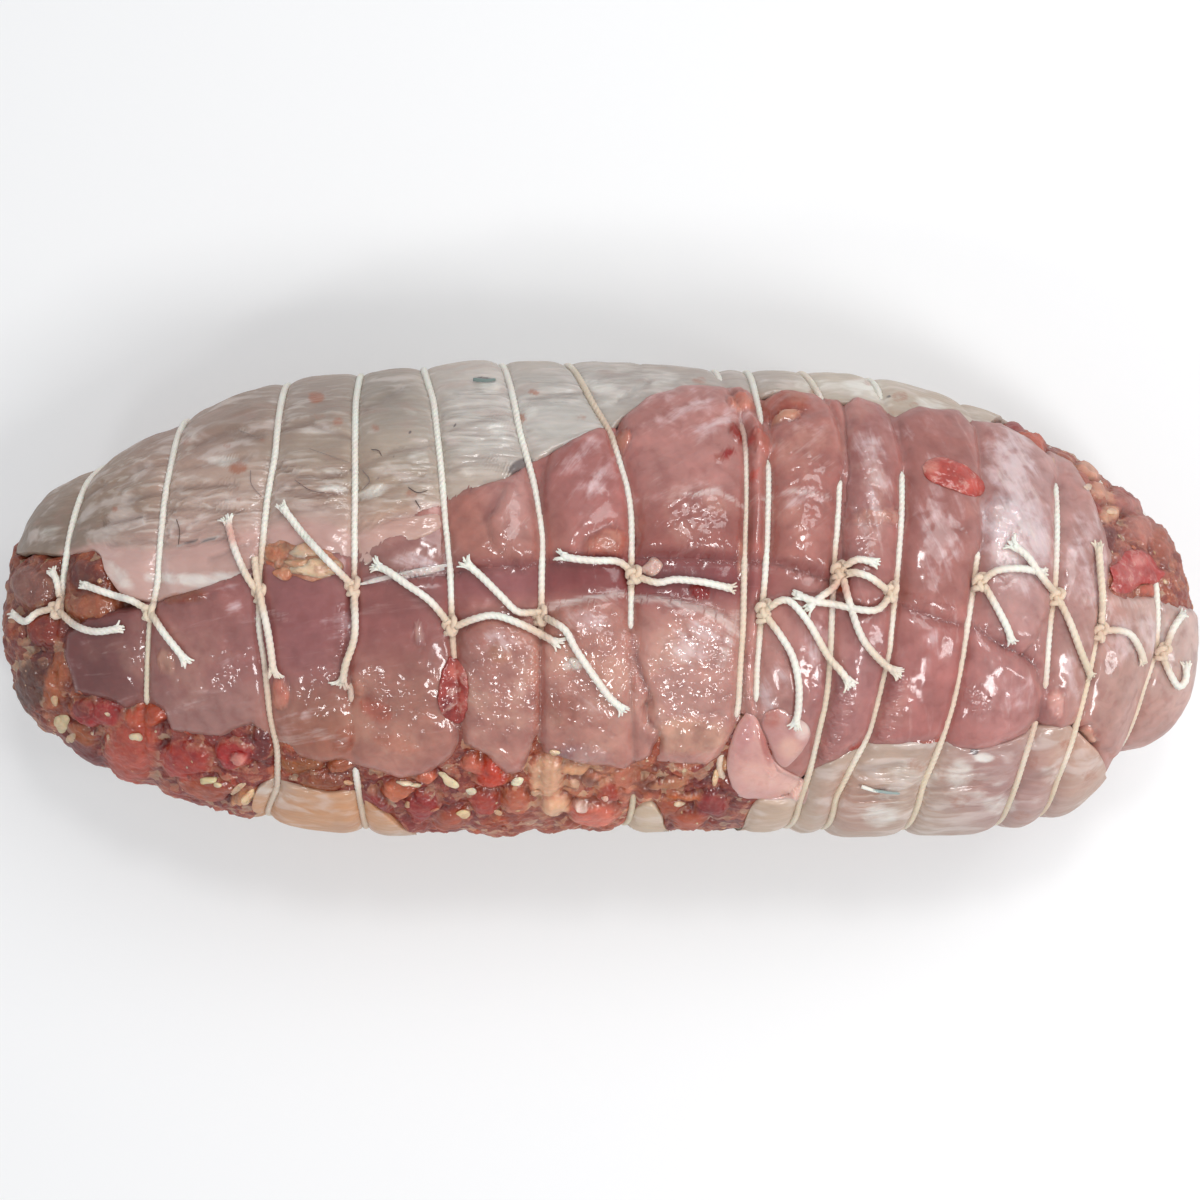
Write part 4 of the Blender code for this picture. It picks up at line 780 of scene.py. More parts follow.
def makeSkin():
    rings, outer, lip, inner = skin["rings"], skin["outer"], skin["lip"], skin["inner"]
    around = outer + lip + inner + lip
    low, high = skin["span"]
    x = spread(rings, skin["ringSpans"])
    top = smoothed(edgeAngles(x, skin["topEdge"], 88), 1)
    top = np.where(x < -140, np.maximum(top, 30 - (x + 140)), top)
    top = np.where(x > 97, np.maximum(top, smoothLine(skin["beyond"], x)), top)
    top = np.where(x > 5, smoothed(top, 4), top)
    front = edgeAngles(x, skin["frontEdge"], skin["frontRest"])
    front = smoothed(np.clip(front, skin["frontRest"], -20), 3) + 360
    rag = np.stack([x, 0 * x, 0 * x], -1)
    top = top + 1.0 * lumps(rag, 5, 3)
    front = front + (1.2 + 3 * ease(-80, -100, front - 360)) * lumps(rag, 8, 13)
    skin["lower"], skin["upper"] = (x, front - 360), (x, top)
    thick = skin["thickness"]
    share = spread(outer, skin["shareSpans"])
    columnAngle = np.zeros((rings, around))
    columnDepth = np.zeros((rings, around))
    columnAngle[:, :outer] = top[:, None] + (front - top)[:, None] * share
    turn = np.linspace(0, math.pi, lip + 2)[1:-1]
    reach = skin["lipReach"]  # how far the rolled lip stands out past the edge, in degrees
    columnAngle[:, outer:outer + lip] = front[:, None] + reach * np.sin(turn)
    columnDepth[:, outer:outer + lip] = thick / 2 * (1 - np.cos(turn))
    under = slice(outer + lip, outer + lip + inner)
    columnAngle[:, under] = front[:, None] + (top - front)[:, None] * np.linspace(0, 1, inner)
    columnDepth[:, under] = thick
    columnAngle[:, outer + lip + inner:] = top[:, None] - reach * np.sin(turn)
    columnDepth[:, outer + lip + inner:] = thick / 2 * (1 + np.cos(turn))
    bpy.ops.object.select_all(action="DESELECT")
    bpy.ops.mesh.primitive_grid_add(x_subdivisions=rings - 1, y_subdivisions=around, size=2)
    made = bpy.context.object
    made.name = made.data.name = "skinWrap"
    co = pointsOf(made, 1)
    ring = np.rint((co[:, 0] + 1) / 2 * (rings - 1)).astype(int)
    column = np.rint((co[:, 1] + 1) / 2 * around).astype(int) % around
    angle = columnAngle[ring, column]
    xv = x[ring]
    loose = ease(low, low + 9, xv) * ease(-high, 9 - high, -xv)  # nothing strays at the two ends
    xv = np.clip(xv + wander(xv, (angle + 180) % 360 - 180) * loose, low, high)
    inward = columnDepth[ring, column]
    p = roundForm(xv, angle)
    fade = ease(0, 8, xv - low) * ease(0, 8, high - xv)
    uv = seenAt(p)
    fold = p * (0.3, 1, 1) + np.stack([0 * xv, lumps(p, 16, 41) * 3, 0 * xv], -1)
    wrinkled = spotted(uv, skin["wrinkled"]) * (p[:, 2] > skin["paintedAbove"])
    raw = rawAt(p, uv) * (p[:, 2] > skin["paintedAbove"])
    height = 0.9 + 0.7 * lumps(p, 22, 3) + skin["foldHeight"] * lumps(fold, 6, 42, 2)
    height = height + 0.5 * wrinkled * lumps(p * (0.16, 1, 1), 2.6, 43, 2)
    height = height + 0.25 * lumps(p, 3.2, 45, 2) * (0.3 + raw)
    creased = streaked(uv, skin["creases"])
    height = height - 0.8 * creased + 0.35 * streaked(uv + (0, 6), skin["creases"]) - 0.55 * raw
    height = pulledIn(xv, angle, height - (1 - fade) * 1.2, skin["bulgeReach"], skin["bulgeFullness"], skin["seat"])
    co = standUp(xv, angle, height - inward)
    rim = (ring == 0) | (ring == rings - 1)  # at both ends its thickness lies across the roast
    outerRim = standUp(xv, angle, height)[rim]
    towardsAxis = np.stack(section(xv)[:2], -1)[rim] - outerRim[:, 1:]
    co[rim] = outerRim
    co[rim, 1:] += unit(towardsAxis) * inward[rim, None]
    made = moveTo(made, co)
    bpy.ops.object.mode_set(mode="EDIT")
    bpy.ops.mesh.select_all(action="SELECT")
    bpy.ops.mesh.remove_doubles(threshold=0.00001)
    bpy.ops.mesh.select_all(action="SELECT")
    bpy.ops.mesh.fill_holes(sides=0)
    bpy.ops.mesh.select_all(action="SELECT")
    bpy.ops.mesh.normals_make_consistent(inside=False)
    bpy.ops.object.mode_set(mode="OBJECT")
    co = pointsOf(made)
    uv = seenAt(co)
    paint(made, "tone", washed(uv, skin["base"], skin["washes"]) - film["haze"])
    upper = (co[:, 2] > skin["paintedAbove"])[:, None]
    pale = np.maximum(spotted(uv, skin["white"]), streaked(uv, skin["bands"]))
    paint(made, "marks", np.stack([pale, spotted(uv, skin["rust"]), spotted(uv, skin["darkDotsAndShade"])], -1) * upper)
    folds = [spotted(uv, skin["wrinkled"]), streaked(uv, skin["creases"]), rawAt(co, uv)]
    paint(made, "folds", np.stack(folds, -1) * upper)
    return made


# Stuffing: a rough minced mass that shows along the front and at both ends

stuffing = {
    "rings": 466, "columns": 204, "hidden": -8.0, "bulgeReach": 6.5, "bulgeFullness": 0.8,
    "base": (146, 74, 56), "tint": (1.0, 0.96, 0.91),
    "ringSpans": ((-150, -146, 3), (-146, 45, 1.5), (45, 95, 0.15), (95, 146, 1.4), (146, 150, 3)),
    "frontSpans": ((-180, -114, 0.2), (-114, -25, 2.2), (-25, 45, 0.8), (45, 180, 0.14)),
    "endSpans": ((-180, -6, 0.15), (-6, 132, 1.6), (132, 180, 0.15)),
    "washes": (
        (40, 590, 40, 25, (132, 86, 78)), (100, 605, 40, 18, (146, 90, 66)), (40, 690, 30, 45, (104, 60, 54)),
        (60, 690, 14, 40, (160, 96, 70)), (110, 740, 40, 30, (138, 44, 28)), (200, 770, 60, 30, (156, 60, 40)),
        (262, 750, 12, 34, (104, 36, 32)), (320, 775, 60, 20, (156, 80, 46)), (420, 805, 50, 24, (154, 62, 38)),
        (500, 790, 40, 30, (184, 88, 60)), (590, 780, 50, 20, (216, 152, 126)), (600, 805, 40, 16, (204, 110, 86)),
        # (706, 778) and (1110, 537) are dark washes of painted shade, in a hole and in a cavity of the mince
        (690, 790, 50, 30, (138, 60, 38)), (706, 778, 8, 12, (70, 26, 22)), (1130, 520, 40, 40, (160, 100, 98)),
        (1090, 480, 30, 20, (176, 108, 94)), (1110, 537, 12, 18, (110, 58, 54)),
        (1030, 435, 40, 12, (150, 70, 56))),
    "chunks": (  # bits of meat and fat in the mince: middle and half sizes in pixels, turn, height, colour
        (34, 587, 21, 21, 0, 2.6, (138, 98, 92)), (99, 606, 34, 14, 4, 2.4, (156, 96, 76)),
        (88, 576, 21, 15, 0, 2.0, (98, 54, 52)), (45, 630, 18, 16, 0, 1.9, (130, 60, 54)),
        (98, 711, 28, 13, 8, 2.2, (158, 50, 42)), (84, 705, 10, 8, 0, 1.6, (120, 36, 34)),
        (134, 748, 26, 34, 12, 2.6, (176, 84, 72)), (148, 713, 20, 13, -6, 2.4, (186, 92, 72)),
        (56, 680, 12, 26, 8, 1.4, (166, 98, 70)), (32, 684, 15, 30, 10, 0.5, (100, 68, 62)),
        (84, 735, 16, 9, 20, 1.6, (160, 96, 66)), (86, 754, 24, 12, 35, 1.4, (112, 46, 40)),
        (186, 760, 26, 19, 0, 2.2, (166, 62, 46)), (236, 752, 19, 14, 0, 2.5, (164, 50, 44)),
        (243, 755, 7, 6, 0, 2.9, (206, 140, 132)), (206, 786, 26, 9, 10, 1.6, (164, 80, 58)),
        (244, 795, 14, 7, -35, 1.8, (206, 146, 104)), (262, 742, 9, 16, 0, 0.8, (110, 36, 32)),
        (300, 765, 24, 9, 0, 1.0, (160, 98, 66)), (322, 781, 24, 9, 6, 1.2, (140, 80, 54)),
        (342, 764, 13, 8, 0, 1.2, (176, 106, 80)), (374, 804, 18, 12, 10, 2.0, (134, 44, 42)),
        (399, 790, 15, 8, 0, 1.8, (198, 118, 90)), (424, 806, 17, 12, 0, 1.8, (150, 52, 24)),
        (452, 818, 18, 9, 0, 2.0, (164, 82, 60)), (426, 776, 12, 7, 0, 1.6, (196, 110, 88)),
        (491, 772, 17, 15, 0, 2.6, (186, 68, 50)), (470, 764, 12, 9, 0, 2.0, (196, 112, 94)),
        (486, 803, 16, 11, 0, 1.8, (160, 62, 46)), (516, 799, 14, 11, 0, 1.8, (184, 104, 82)),
        (514, 762, 10, 8, 0, 1.8, (180, 130, 126)), (547, 774, 17, 23, 4, 3.2, (222, 176, 146)),
        (557, 804, 14, 10, 0, 3.0, (222, 180, 148)), (574, 768, 13, 7, 0, 2.0, (214, 164, 128)),
        (592, 779, 9, 7, 0, 1.6, (126, 88, 80)), (609, 790, 11, 12, 0, 1.8, (156, 56, 46)),
        (592, 812, 25, 10, 4, 2.2, (210, 114, 98)), (581, 803, 7, 4, 0, 2.8, (234, 212, 204)),
        (627, 776, 13, 9, 0, 1.6, (180, 108, 88)), (648, 784, 11, 9, 0, 1.4, (126, 70, 56)),
        (669, 782, 18, 5, -10, 1.6, (190, 132, 102)), (686, 796, 18, 4, 8, 1.7, (188, 110, 70)),
        (668, 806, 14, 9, 0, 1.8, (164, 84, 62)), (712, 804, 16, 13, 0, 2.0, (142, 50, 36)),
        (690, 818, 18, 8, 0, 1.8, (176, 88, 66)), (722, 770, 6, 11, 8, 2.4, (220, 168, 130)),
        (1111, 513, 12, 8, 0, 1.8, (218, 168, 140)), (1080, 481, 14, 9, 30, 1.4, (176, 98, 84)),
        (1101, 491, 12, 8, 30, 1.6, (206, 156, 134)), (1128, 500, 18, 11, 25, 1.6, (168, 108, 102)),
        (1144, 528, 20, 14, 30, 1.6, (178, 118, 108)),
        (1163, 545, 10, 18, -10, 1.4, (160, 92, 76)), (1128, 490, 8, 6, 30, 1.2, (120, 62, 60)),
        (1090, 470, 12, 5, 30, 1.6, (210, 162, 140)), (1140, 478, 10, 6, 35, 0.8, (126, 46, 44)),
        (1160, 506, 13, 6, 45, 0.9, (134, 52, 48)), (1150, 492, 8, 4, 40, 1.2, (218, 180, 160)),
        (1174, 532, 6, 11, -20, 0.9, (138, 60, 54)), (1094, 507, 8, 6, 0, 1.0, (146, 66, 60)),
        (1118, 476, 9, 4, 30, 1.2, (214, 172, 152)),
        # the dark piece at (1108, 537) stands in for the shade of the cavity there
        (1060, 462, 12, 5, 30, 1.4, (214, 178, 156)), (1108, 537, 9, 14, 0, 0.6, (104, 52, 50)),
        (1010, 428, 17, 6, 12, 1.6, (140, 50, 44)), (1032, 443, 16, 9, 24, 1.8, (190, 88, 66)),
        (988, 422, 10, 6, 10, 1.4, (214, 186, 160)), (1148, 590, 10, 6, 0, 1.0, (196, 106, 90))),
    "crumbs": (  # firm pale crumbs laid on the mince: middle, half sizes, turn, height, colour
        (449, 780, 12, 5, 38, 1.1, (226, 202, 164)), (471, 791, 5, 3.5, 20, 0.9, (222, 204, 176)),
        (406, 783, 8, 3, 6, 0.7, (230, 206, 176)), (417, 785, 5, 2.5, 0, 0.6, (226, 200, 164)),
        (464, 813, 9, 4.5, 8, 0.9, (224, 188, 142)), (518, 781, 7, 4.5, -35, 1.0, (232, 214, 184)),
        (137, 737, 6, 5, 20, 0.9, (206, 188, 158)), (209, 780, 10, 4, -6, 0.9, (214, 198, 150)),
        (218, 784, 5, 3, 0, 0.7, (226, 200, 160)),
        (249, 797, 10, 4, -50, 1.1, (230, 186, 142)), (238, 788, 8, 3, -30, 0.9, (226, 180, 146)),
        (680, 803, 6, 3.5, 0, 0.8, (226, 198, 164)), (62, 722, 7, 8, 10, 0.8, (204, 182, 142)),
        (72, 737, 6, 5, 0, 0.7, (196, 158, 122)), (55, 700, 4, 5, 0, 0.6, (198, 160, 122)),
        (556, 752, 5, 3, 0, 0.7, (230, 196, 160)), (536, 792, 5, 3.5, 0, 0.7, (220, 170, 136)),
        (716, 778, 3.5, 9, 12, 0.9, (232, 190, 150)), (498, 812, 5, 3, 30, 0.6, (214, 164, 130)),
        (606, 798, 4, 3, 0, 0.6, (222, 170, 150)), (350, 782, 5, 2.5, 10, 0.6, (214, 164, 126)),
        (1112, 511, 6, 4, 0, 0.8, (228, 186, 156)), (1089, 486, 5, 3.5, 20, 0.6, (222, 184, 160))),
    "scattered": 240,
}


def scatterCrumbs(mass, shown):  # fine crumbs pressed into the mince where it shows
    dice = np.random.default_rng(11)
    bpy.ops.object.select_all(action="DESELECT")
    bpy.ops.mesh.primitive_uv_sphere_add(segments=8, ring_count=6, radius=1)
    source = bpy.context.object
    co = pointsOf(source, 1)
    faces = [tuple(face.vertices) for face in source.data.polygons]
    bpy.data.objects.remove(source)
    where = pointsOf(mass)
    facingOut = normalsOf(mass)
    chosen = dice.choice(np.flatnonzero((shown > 0.95) & (where[:, 2] > 14)), stuffing["scattered"], replace=False)
    points, quads, tones = [], [], []
    colours = [linear(c) for c in ((214, 168, 130), (184, 100, 74), (196, 120, 94), (150, 56, 44), (228, 196, 164))]
    for number, spot in enumerate(chosen):
        out = facingOut[spot]
        first = unit(np.cross(out, dice.normal(size=3)))
        second = np.cross(out, first)
        size = 0.28 + 0.6 * dice.random() ** 3
        shape = co * (size * (0.9 + 0.9 * dice.random()), size, size * 0.4)
        shape = shape * (1 + 0.3 * lumps(co * 3 + number, 2.0, 7, 1))[:, None]
        placed = shape @ np.stack([first, second, out]) + where[spot] - out * size * 0.15
        quads += [tuple(v + number * len(co) for v in face) for face in faces]
        points.append(placed)
        tones.append(np.tile(colours[dice.integers(5)] * (0.75 + 0.35 * dice.random()), (len(co), 1)))
    made = addPiece("minceCrumbs", np.vstack(points), quads)
    paint(made, "tone", np.vstack(tones))
    return made


def makeStuffing():
    made, ring, column = ballRings("stuffingMass", stuffing["rings"], stuffing["columns"])
    x = spread(stuffing["rings"] + 2, stuffing["ringSpans"])[ring]
    frontTurn = spread(stuffing["columns"] + 1, stuffing["frontSpans"])
    endTurn = spread(stuffing["columns"] + 1, stuffing["endSpans"])
    share = ease(50, 95, x)
    angle = frontTurn[column] * (1 - share) + endTurn[column] * share
    p = roundForm(x, angle)
    straight = x - wander(x, angle)
    bare = np.minimum(angle - np.interp(straight, *skin["lower"]), np.interp(straight, *skin["upper"]) - angle)
    # degrees to the nearer edge of the skin, less than 0 under it; past the skin's two ends all is bare
    bare = bare + 60 * ease(137, 140, x) + 60 * ease(147, 149, -x)
    ridge = ease(-118, -108, angle) * (1 - ease(-30, -22, angle)) * (1 - ease(40, 50, x))
    leftTip = (1 - ease(-138, -132, x)) * ease(-118, -108, angle) * (1 - ease(30, 40, angle))
    leftLump = (1 - ease(-120, -112, x)) * ease(-60, -40, angle) * (1 - ease(24, 34, angle))
    rightEnd = ease(92, 106, x) * ease(0, 6, angle) * (1 - ease(126, 136, angle - 60 * ease(134, 141, x)))
    tip = ease(144, 146, -x)  # inside the open end of the skin
    shown = np.maximum.reduce([ridge, leftTip, leftLump, rightEnd, tip])
    uv = seenAt(p)
    calm = 1 - 0.25 * ease(95, 112, x)
    swirl = p + np.stack([lumps(p, 5, 33), lumps(p, 5, 34), lumps(p, 5, 35)], -1) * 2.2
    first, second, which = crumbsAt(swirl, 4.4, 3)
    fine, nextFine, whichFine = crumbsAt(swirl, 2.1, 5)
    height = 0.5 + 1.5 * lumps(p, 10, 21, 2) * calm + 0.6 * lumps(swirl, 3.2, 22, 3) * calm
    height = height + (np.clip(second - first, 0, 0.4) * 2.5 - 0.6) * (0.3 + 0.7 * which) * 0.9 * calm
    height = height + (np.clip(nextFine - fine, 0, 0.4) * 2.5 - 0.6) * whichFine * 0.25
    shade = 0.62 + 0.75 * which * (0.5 + 0.5 * whichFine)
    tone = washed(uv, stuffing["base"], stuffing["washes"]) * shade[:, None]
    height, tone, chunky = pressIn(p, uv, height, tone, stuffing["chunks"], 1, 0.55)
    height = height + 0.07 * lumps(p, 1.3, 24, 2)
    # painted shade: the mince is darker where it lies low, between its crumbs
    tone = tone * (0.55 + 0.5 * ease(-1.4, 1.2, height))[:, None]
    height = pulledIn(x, angle, height, stuffing["bulgeReach"], stuffing["bulgeFullness"])
    near = ease(-1, 6, bare)
    covered = np.minimum(height, -0.6) * (1 - tip) + (height * 0.3 - 1.9) * tip
    height = height * near + covered * (1 - near)
    shown = shown * np.maximum(ease(-7, -3, bare), tip)
    height = height * shown + stuffing["hidden"] * (1 - shown)
    made = moveTo(made, standUp(x, angle, height))
    paint(made, "tone", np.clip(tone * stuffing["tint"] - film["haze"] * 0.9, 0.004, 0.9))
    paint(made, "marks", np.stack([chunky, ease(95, 112, x), 0 * x], -1))
    return made, shown


# Finishes

class Value:  # a socket that takes part in sums, so that shader maths reads as plain arithmetic
    def __init__(self, tree, socket):
        self.tree, self.socket = tree, socket

    def node(self, kind, settings=None, inputs=None, out=0):
        made = self.tree.nodes.new(kind)
        for key, value in (settings or {}).items():
            if key == "stops":
                ramp = made.color_ramp
                while len(ramp.elements) < len(value):
                    ramp.elements.new(0.5)
                for element, (at, colour) in zip(ramp.elements, value):
                    element.position = at
                    element.color = colour
            else:
                setattr(made, key, value)
        for key, value in (inputs or {}).items():
            if isinstance(value, Value):
                self.tree.links.new(value.socket, made.inputs[key])
            else:
                made.inputs[key].default_value = value
        return Value(self.tree, made.outputs[out])

    def maths(self, operation, a, b=None):
        inputs = {0: a} if b is None else {0: a, 1: b}
        return self.node("ShaderNodeMath", {"operation": operation}, inputs)

    def __add__(self, other):
        return self.maths("ADD", self, other)

    def __radd__(self, other):
        return self.maths("ADD", other, self)

    def __sub__(self, other):
        return self.maths("SUBTRACT", self, other)

    def __rsub__(self, other):
        return self.maths("SUBTRACT", other, self)

    def __mul__(self, other):
        return self.maths("MULTIPLY", self, other)

    def __rmul__(self, other):
        return self.maths("MULTIPLY", other, self)

    def __truediv__(self, other):
        return self.maths("DIVIDE", self, other)

    def over(self, low, high):  # 0 below low, 1 above high
        return self.node("ShaderNodeMapRange", {"clamp": True, "interpolation_type": "SMOOTHSTEP"},
                         {"Value": self, "From Min": low, "From Max": high})

    def mixed(self, a, b):  # colour a, and b where this value is 1
        return self.node("ShaderNodeMix", {"data_type": "RGBA"}, {0: self, 6: a, 7: b}, 2)

    def times(self, by):  # a colour made lighter or darker
        return self.node("ShaderNodeVectorMath", {"operation": "SCALE"}, {0: self, "Scale": by})

    def scaled(self, by):  # a vector stretched along its axes
        return self.node("ShaderNodeVectorMath", {"operation": "MULTIPLY"}, {0: self, 1: by})

    def shifted(self, by):
        return self.node("ShaderNodeVectorMath", {"operation": "ADD"}, {0: self, 1: by})

    def noise(self, size, detail, rough, warp=0.0):  # size in millimetres
        return self.node("ShaderNodeTexNoise", {}, {"Vector": self, "Scale": 1000 / size, "Detail": detail,
                                                    "Roughness": rough, "Distortion": warp})

    def cells(self, size, out=0):  # size in millimetres; out 1 is a colour for each cell
        return self.node("ShaderNodeTexVoronoi", {}, {"Vector": self, "Scale": 1000 / size}, out)


def finish(name, **settings):  # a material, its Principled shader and a first socket to work from
    made = bpy.data.materials.new(name)
    made.use_nodes = True
    tree = made.node_tree
    shader = tree.nodes["Principled BSDF"]
    for key, value in settings.items():
        shader.inputs[key].default_value = value
    start = Value(tree, tree.nodes.new("ShaderNodeTexCoord").outputs["Object"])
    return made, shader, start


def attribute(start, name, out="Color"):
    return start.node("ShaderNodeAttribute", {"attribute_name": name}, {}, out)


def rgb(r, g, b):
    return (*[float(c) for c in linear((r, g, b))], 1)


def wire(start, value, shader, socket):
    start.tree.links.new(value.socket, shader.inputs[socket])


def bumped(start, height, distance, strength=1.0):
    return start.node("ShaderNodeBump", {}, {"Height": height, "Distance": distance, "Strength": strength})


# a wet film on a shader, with finer relief than what is under it
def filmed(made, shader, height, distance, share, rough):
    film = height.node("ShaderNodeBsdfPrincipled", {},
                       {"Base Color": (1, 1, 1, 1), "Metallic": 1.0, "Roughness": rough,
                        "Normal": bumped(height, height, distance)})
    blend = height.node("ShaderNodeMixShader", {}, {0: share, 1: Value(made.node_tree, shader.outputs[0]), 2: film})
    made.node_tree.links.new(blend.socket, made.node_tree.nodes["Material Output"].inputs["Surface"])


def marked(mask, noise, low, high):  # a painted mask with its edge broken up
    return (mask + (noise - 0.5) * 1.1).over(low, high)


def painted(start, name):  # the three masks in a painted attribute
    split = start.tree.nodes.new("ShaderNodeSeparateColor")
    start.tree.links.new(attribute(start, name).socket, split.inputs[0])
    return [Value(start.tree, split.outputs[k]) for k in range(3)]


def meatFinish():
    made, shader, place = finish("meat", **{
        "Roughness": 0.45, "Subsurface Weight": 0.5, "Subsurface Radius": (1.0, 0.35, 0.25),
        "Subsurface Scale": 0.004, "Specular IOR Level": 0.25})
    tone = attribute(place, "tone")
    grain = attribute(place, "grain", "Vector")
    sinew, bloodAndGrooveShade, stain = painted(place, "marks")
    grainy, hollowShade, sheenVeil = painted(place, "wet")
    ribs = attribute(place, "wet", "Alpha")
    fibres = grain.scaled((0.12, 1, 1)).noise(1.1, 4, 0.6)
    streaky = grain.scaled((0.22, 1, 1)).noise(3.4, 5, 0.6, 0.5)
    cloud = place.noise(10, 3, 0.5)
    blotch = place.noise(3.6, 3, 0.5, 0.4)
    ragged = place.noise(2.2, 4, 0.65)
    colour = tone.times(0.32 + cloud * 0.66 + blotch * 0.6 + fibres * 0.1)
    # whitish bloom, with a painted sheen where the veils lie
    milky = (blotch * 0.35 + cloud * 0.45 + streaky * 0.7 - 0.75) * 2.4
    colour = ((sheenVeil + milky).over(0.3, 1.15) * 0.7).mixed(colour, rgb(226, 208, 210))
    colour = (grainy * cloud.over(0.45, 0.65) * 0.2).mixed(colour, rgb(222, 190, 164))
    colour = (streaky.over(0.58, 0.76) * 0.16).mixed(colour, rgb(224, 194, 188))
    colour = ((1 - blotch).over(0.52, 0.7) * 0.2).mixed(colour, rgb(150, 78, 74))
    colour = (marked(stain, ragged, 0.2, 1.0) * 0.4).mixed(colour, rgb(190, 100, 76))
    colour = (marked(sinew, fibres, 0.3, 1.1) * 0.7).mixed(colour, rgb(230, 216, 210))
    # blood, and painted shade in a groove
    colour = (marked(bloodAndGrooveShade, ragged, 0.3, 0.9) * 0.5).mixed(colour, rgb(130, 48, 44))
    # painted shade in the hollows and along the seams
    colour = (hollowShade * 0.55).mixed(colour, rgb(116, 52, 54))
    wire(place, colour, shader, "Base Color")
    flow = grain.scaled((0.2, 1, 1)).noise(2.2, 1, 0.35)
    swollen = place.noise(4.5, 1, 0.4)
    wet = place.noise(2.2, 1, 0.35)
    ridged = place.scaled((0.3, 1, 1)).noise(1.2, 1, 0.5)
    height = flow * 0.3 + swollen * 0.6 + wet * (grainy * 0.4 + 0.03) + ridged * ribs * 0.9
    wire(place, bumped(place, height, 0.0011, 0.7), shader, "Normal")
    silk = flow * (grainy * 0.25 + 0.06) + swollen * (grainy * 0.2 + 0.28)
    silk = silk + wet * (grainy * 1.0 + 0.04) + ridged * ribs * 1.3
    filmed(made, shader, silk, 0.0011, grainy * 0.02 + 0.04, 0.12)
    return made


def skinFinish():
    made, shader, place = finish("skin", **{
        "Roughness": 0.5, "Subsurface Weight": 0.3, "Subsurface Radius": (1.0, 0.6, 0.4), "Subsurface Scale": 0.003,
        "Specular IOR Level": 0.25})
    white, rust, darkDotsAndShade = painted(place, "marks")
    wrinkled, creased, raw = painted(place, "folds")
    tone = attribute(place, "tone")
    cloud = place.noise(12, 5, 0.6)
    patchy = place.scaled((0.6, 1, 1)).noise(4.6, 4, 0.55, 0.8)
    ragged = place.noise(2.4, 4, 0.65)
    bent = place.shifted(place.noise(7, 3, 0.5) * 0.0022)
    fine = bent.scaled((0.08, 1, 1)).noise(1.4, 1, 0.4)
    pale = place.scaled((0.4, 1, 1)).noise(5.5, 3, 0.5, 0.5)
    colour = tone.times(0.68 + cloud * 0.34 + patchy * 0.34)
    # pale whitish streaks, lighter where the bump below rises and browner where it falls: partly the skin's own
    # colour, partly painted sheen and shade
    colour = (pale.over(0.5, 0.68) * 0.4).mixed(colour, rgb(226, 212, 206))
    colour = ((1 - pale).over(0.56, 0.7) * 0.2).mixed(colour, rgb(172, 128, 116))
    # the fine wrinkles are painted darker in their troughs and lighter on their crests: painted shade and highlight
    # on the relief of the bump below
    colour = ((1 - fine).over(0.48, 0.64) * (wrinkled * 0.24 + 0.04)).mixed(colour, rgb(136, 104, 96))
    colour = (fine.over(0.52, 0.7) * (wrinkled * 0.3 + 0.05)).mixed(colour, rgb(232, 222, 214))
    colour = (raw * (0.35 + cloud * 0.35)).mixed(colour, rgb(200, 154, 146))
    colour = (marked(white, patchy, 0.25, 1.0) * 0.8).mixed(colour, rgb(232, 228, 220))
    colour = (marked(rust, ragged, 0.3, 0.95) * 0.75).mixed(colour, rgb(162, 96, 68))
    # painted shade in the creases
    colour = (creased * (0.35 + ragged * 0.3)).mixed(colour, rgb(116, 88, 78))
    # dark dots, and painted shade in folds and creases
    colour = (darkDotsAndShade.over(0.3, 0.8) * 0.8).mixed(colour, rgb(84, 74, 76))
    wire(place, colour, shader, "Base Color")
    silky = place.scaled((0.5, 1, 1)).noise(4.4, 1, 0.4)
    height = fine * (wrinkled * 0.8 + 0.12) + silky * 0.7 + pale * 0.6
    wire(place, bumped(place, height, 0.0014, 0.7), shader, "Normal")
    filmed(made, shader, height + place.noise(2.4, 1, 0.35) * (raw * 0.2 + 0.15), 0.0014, raw * 0.01 + 0.05, 0.19)
    return made


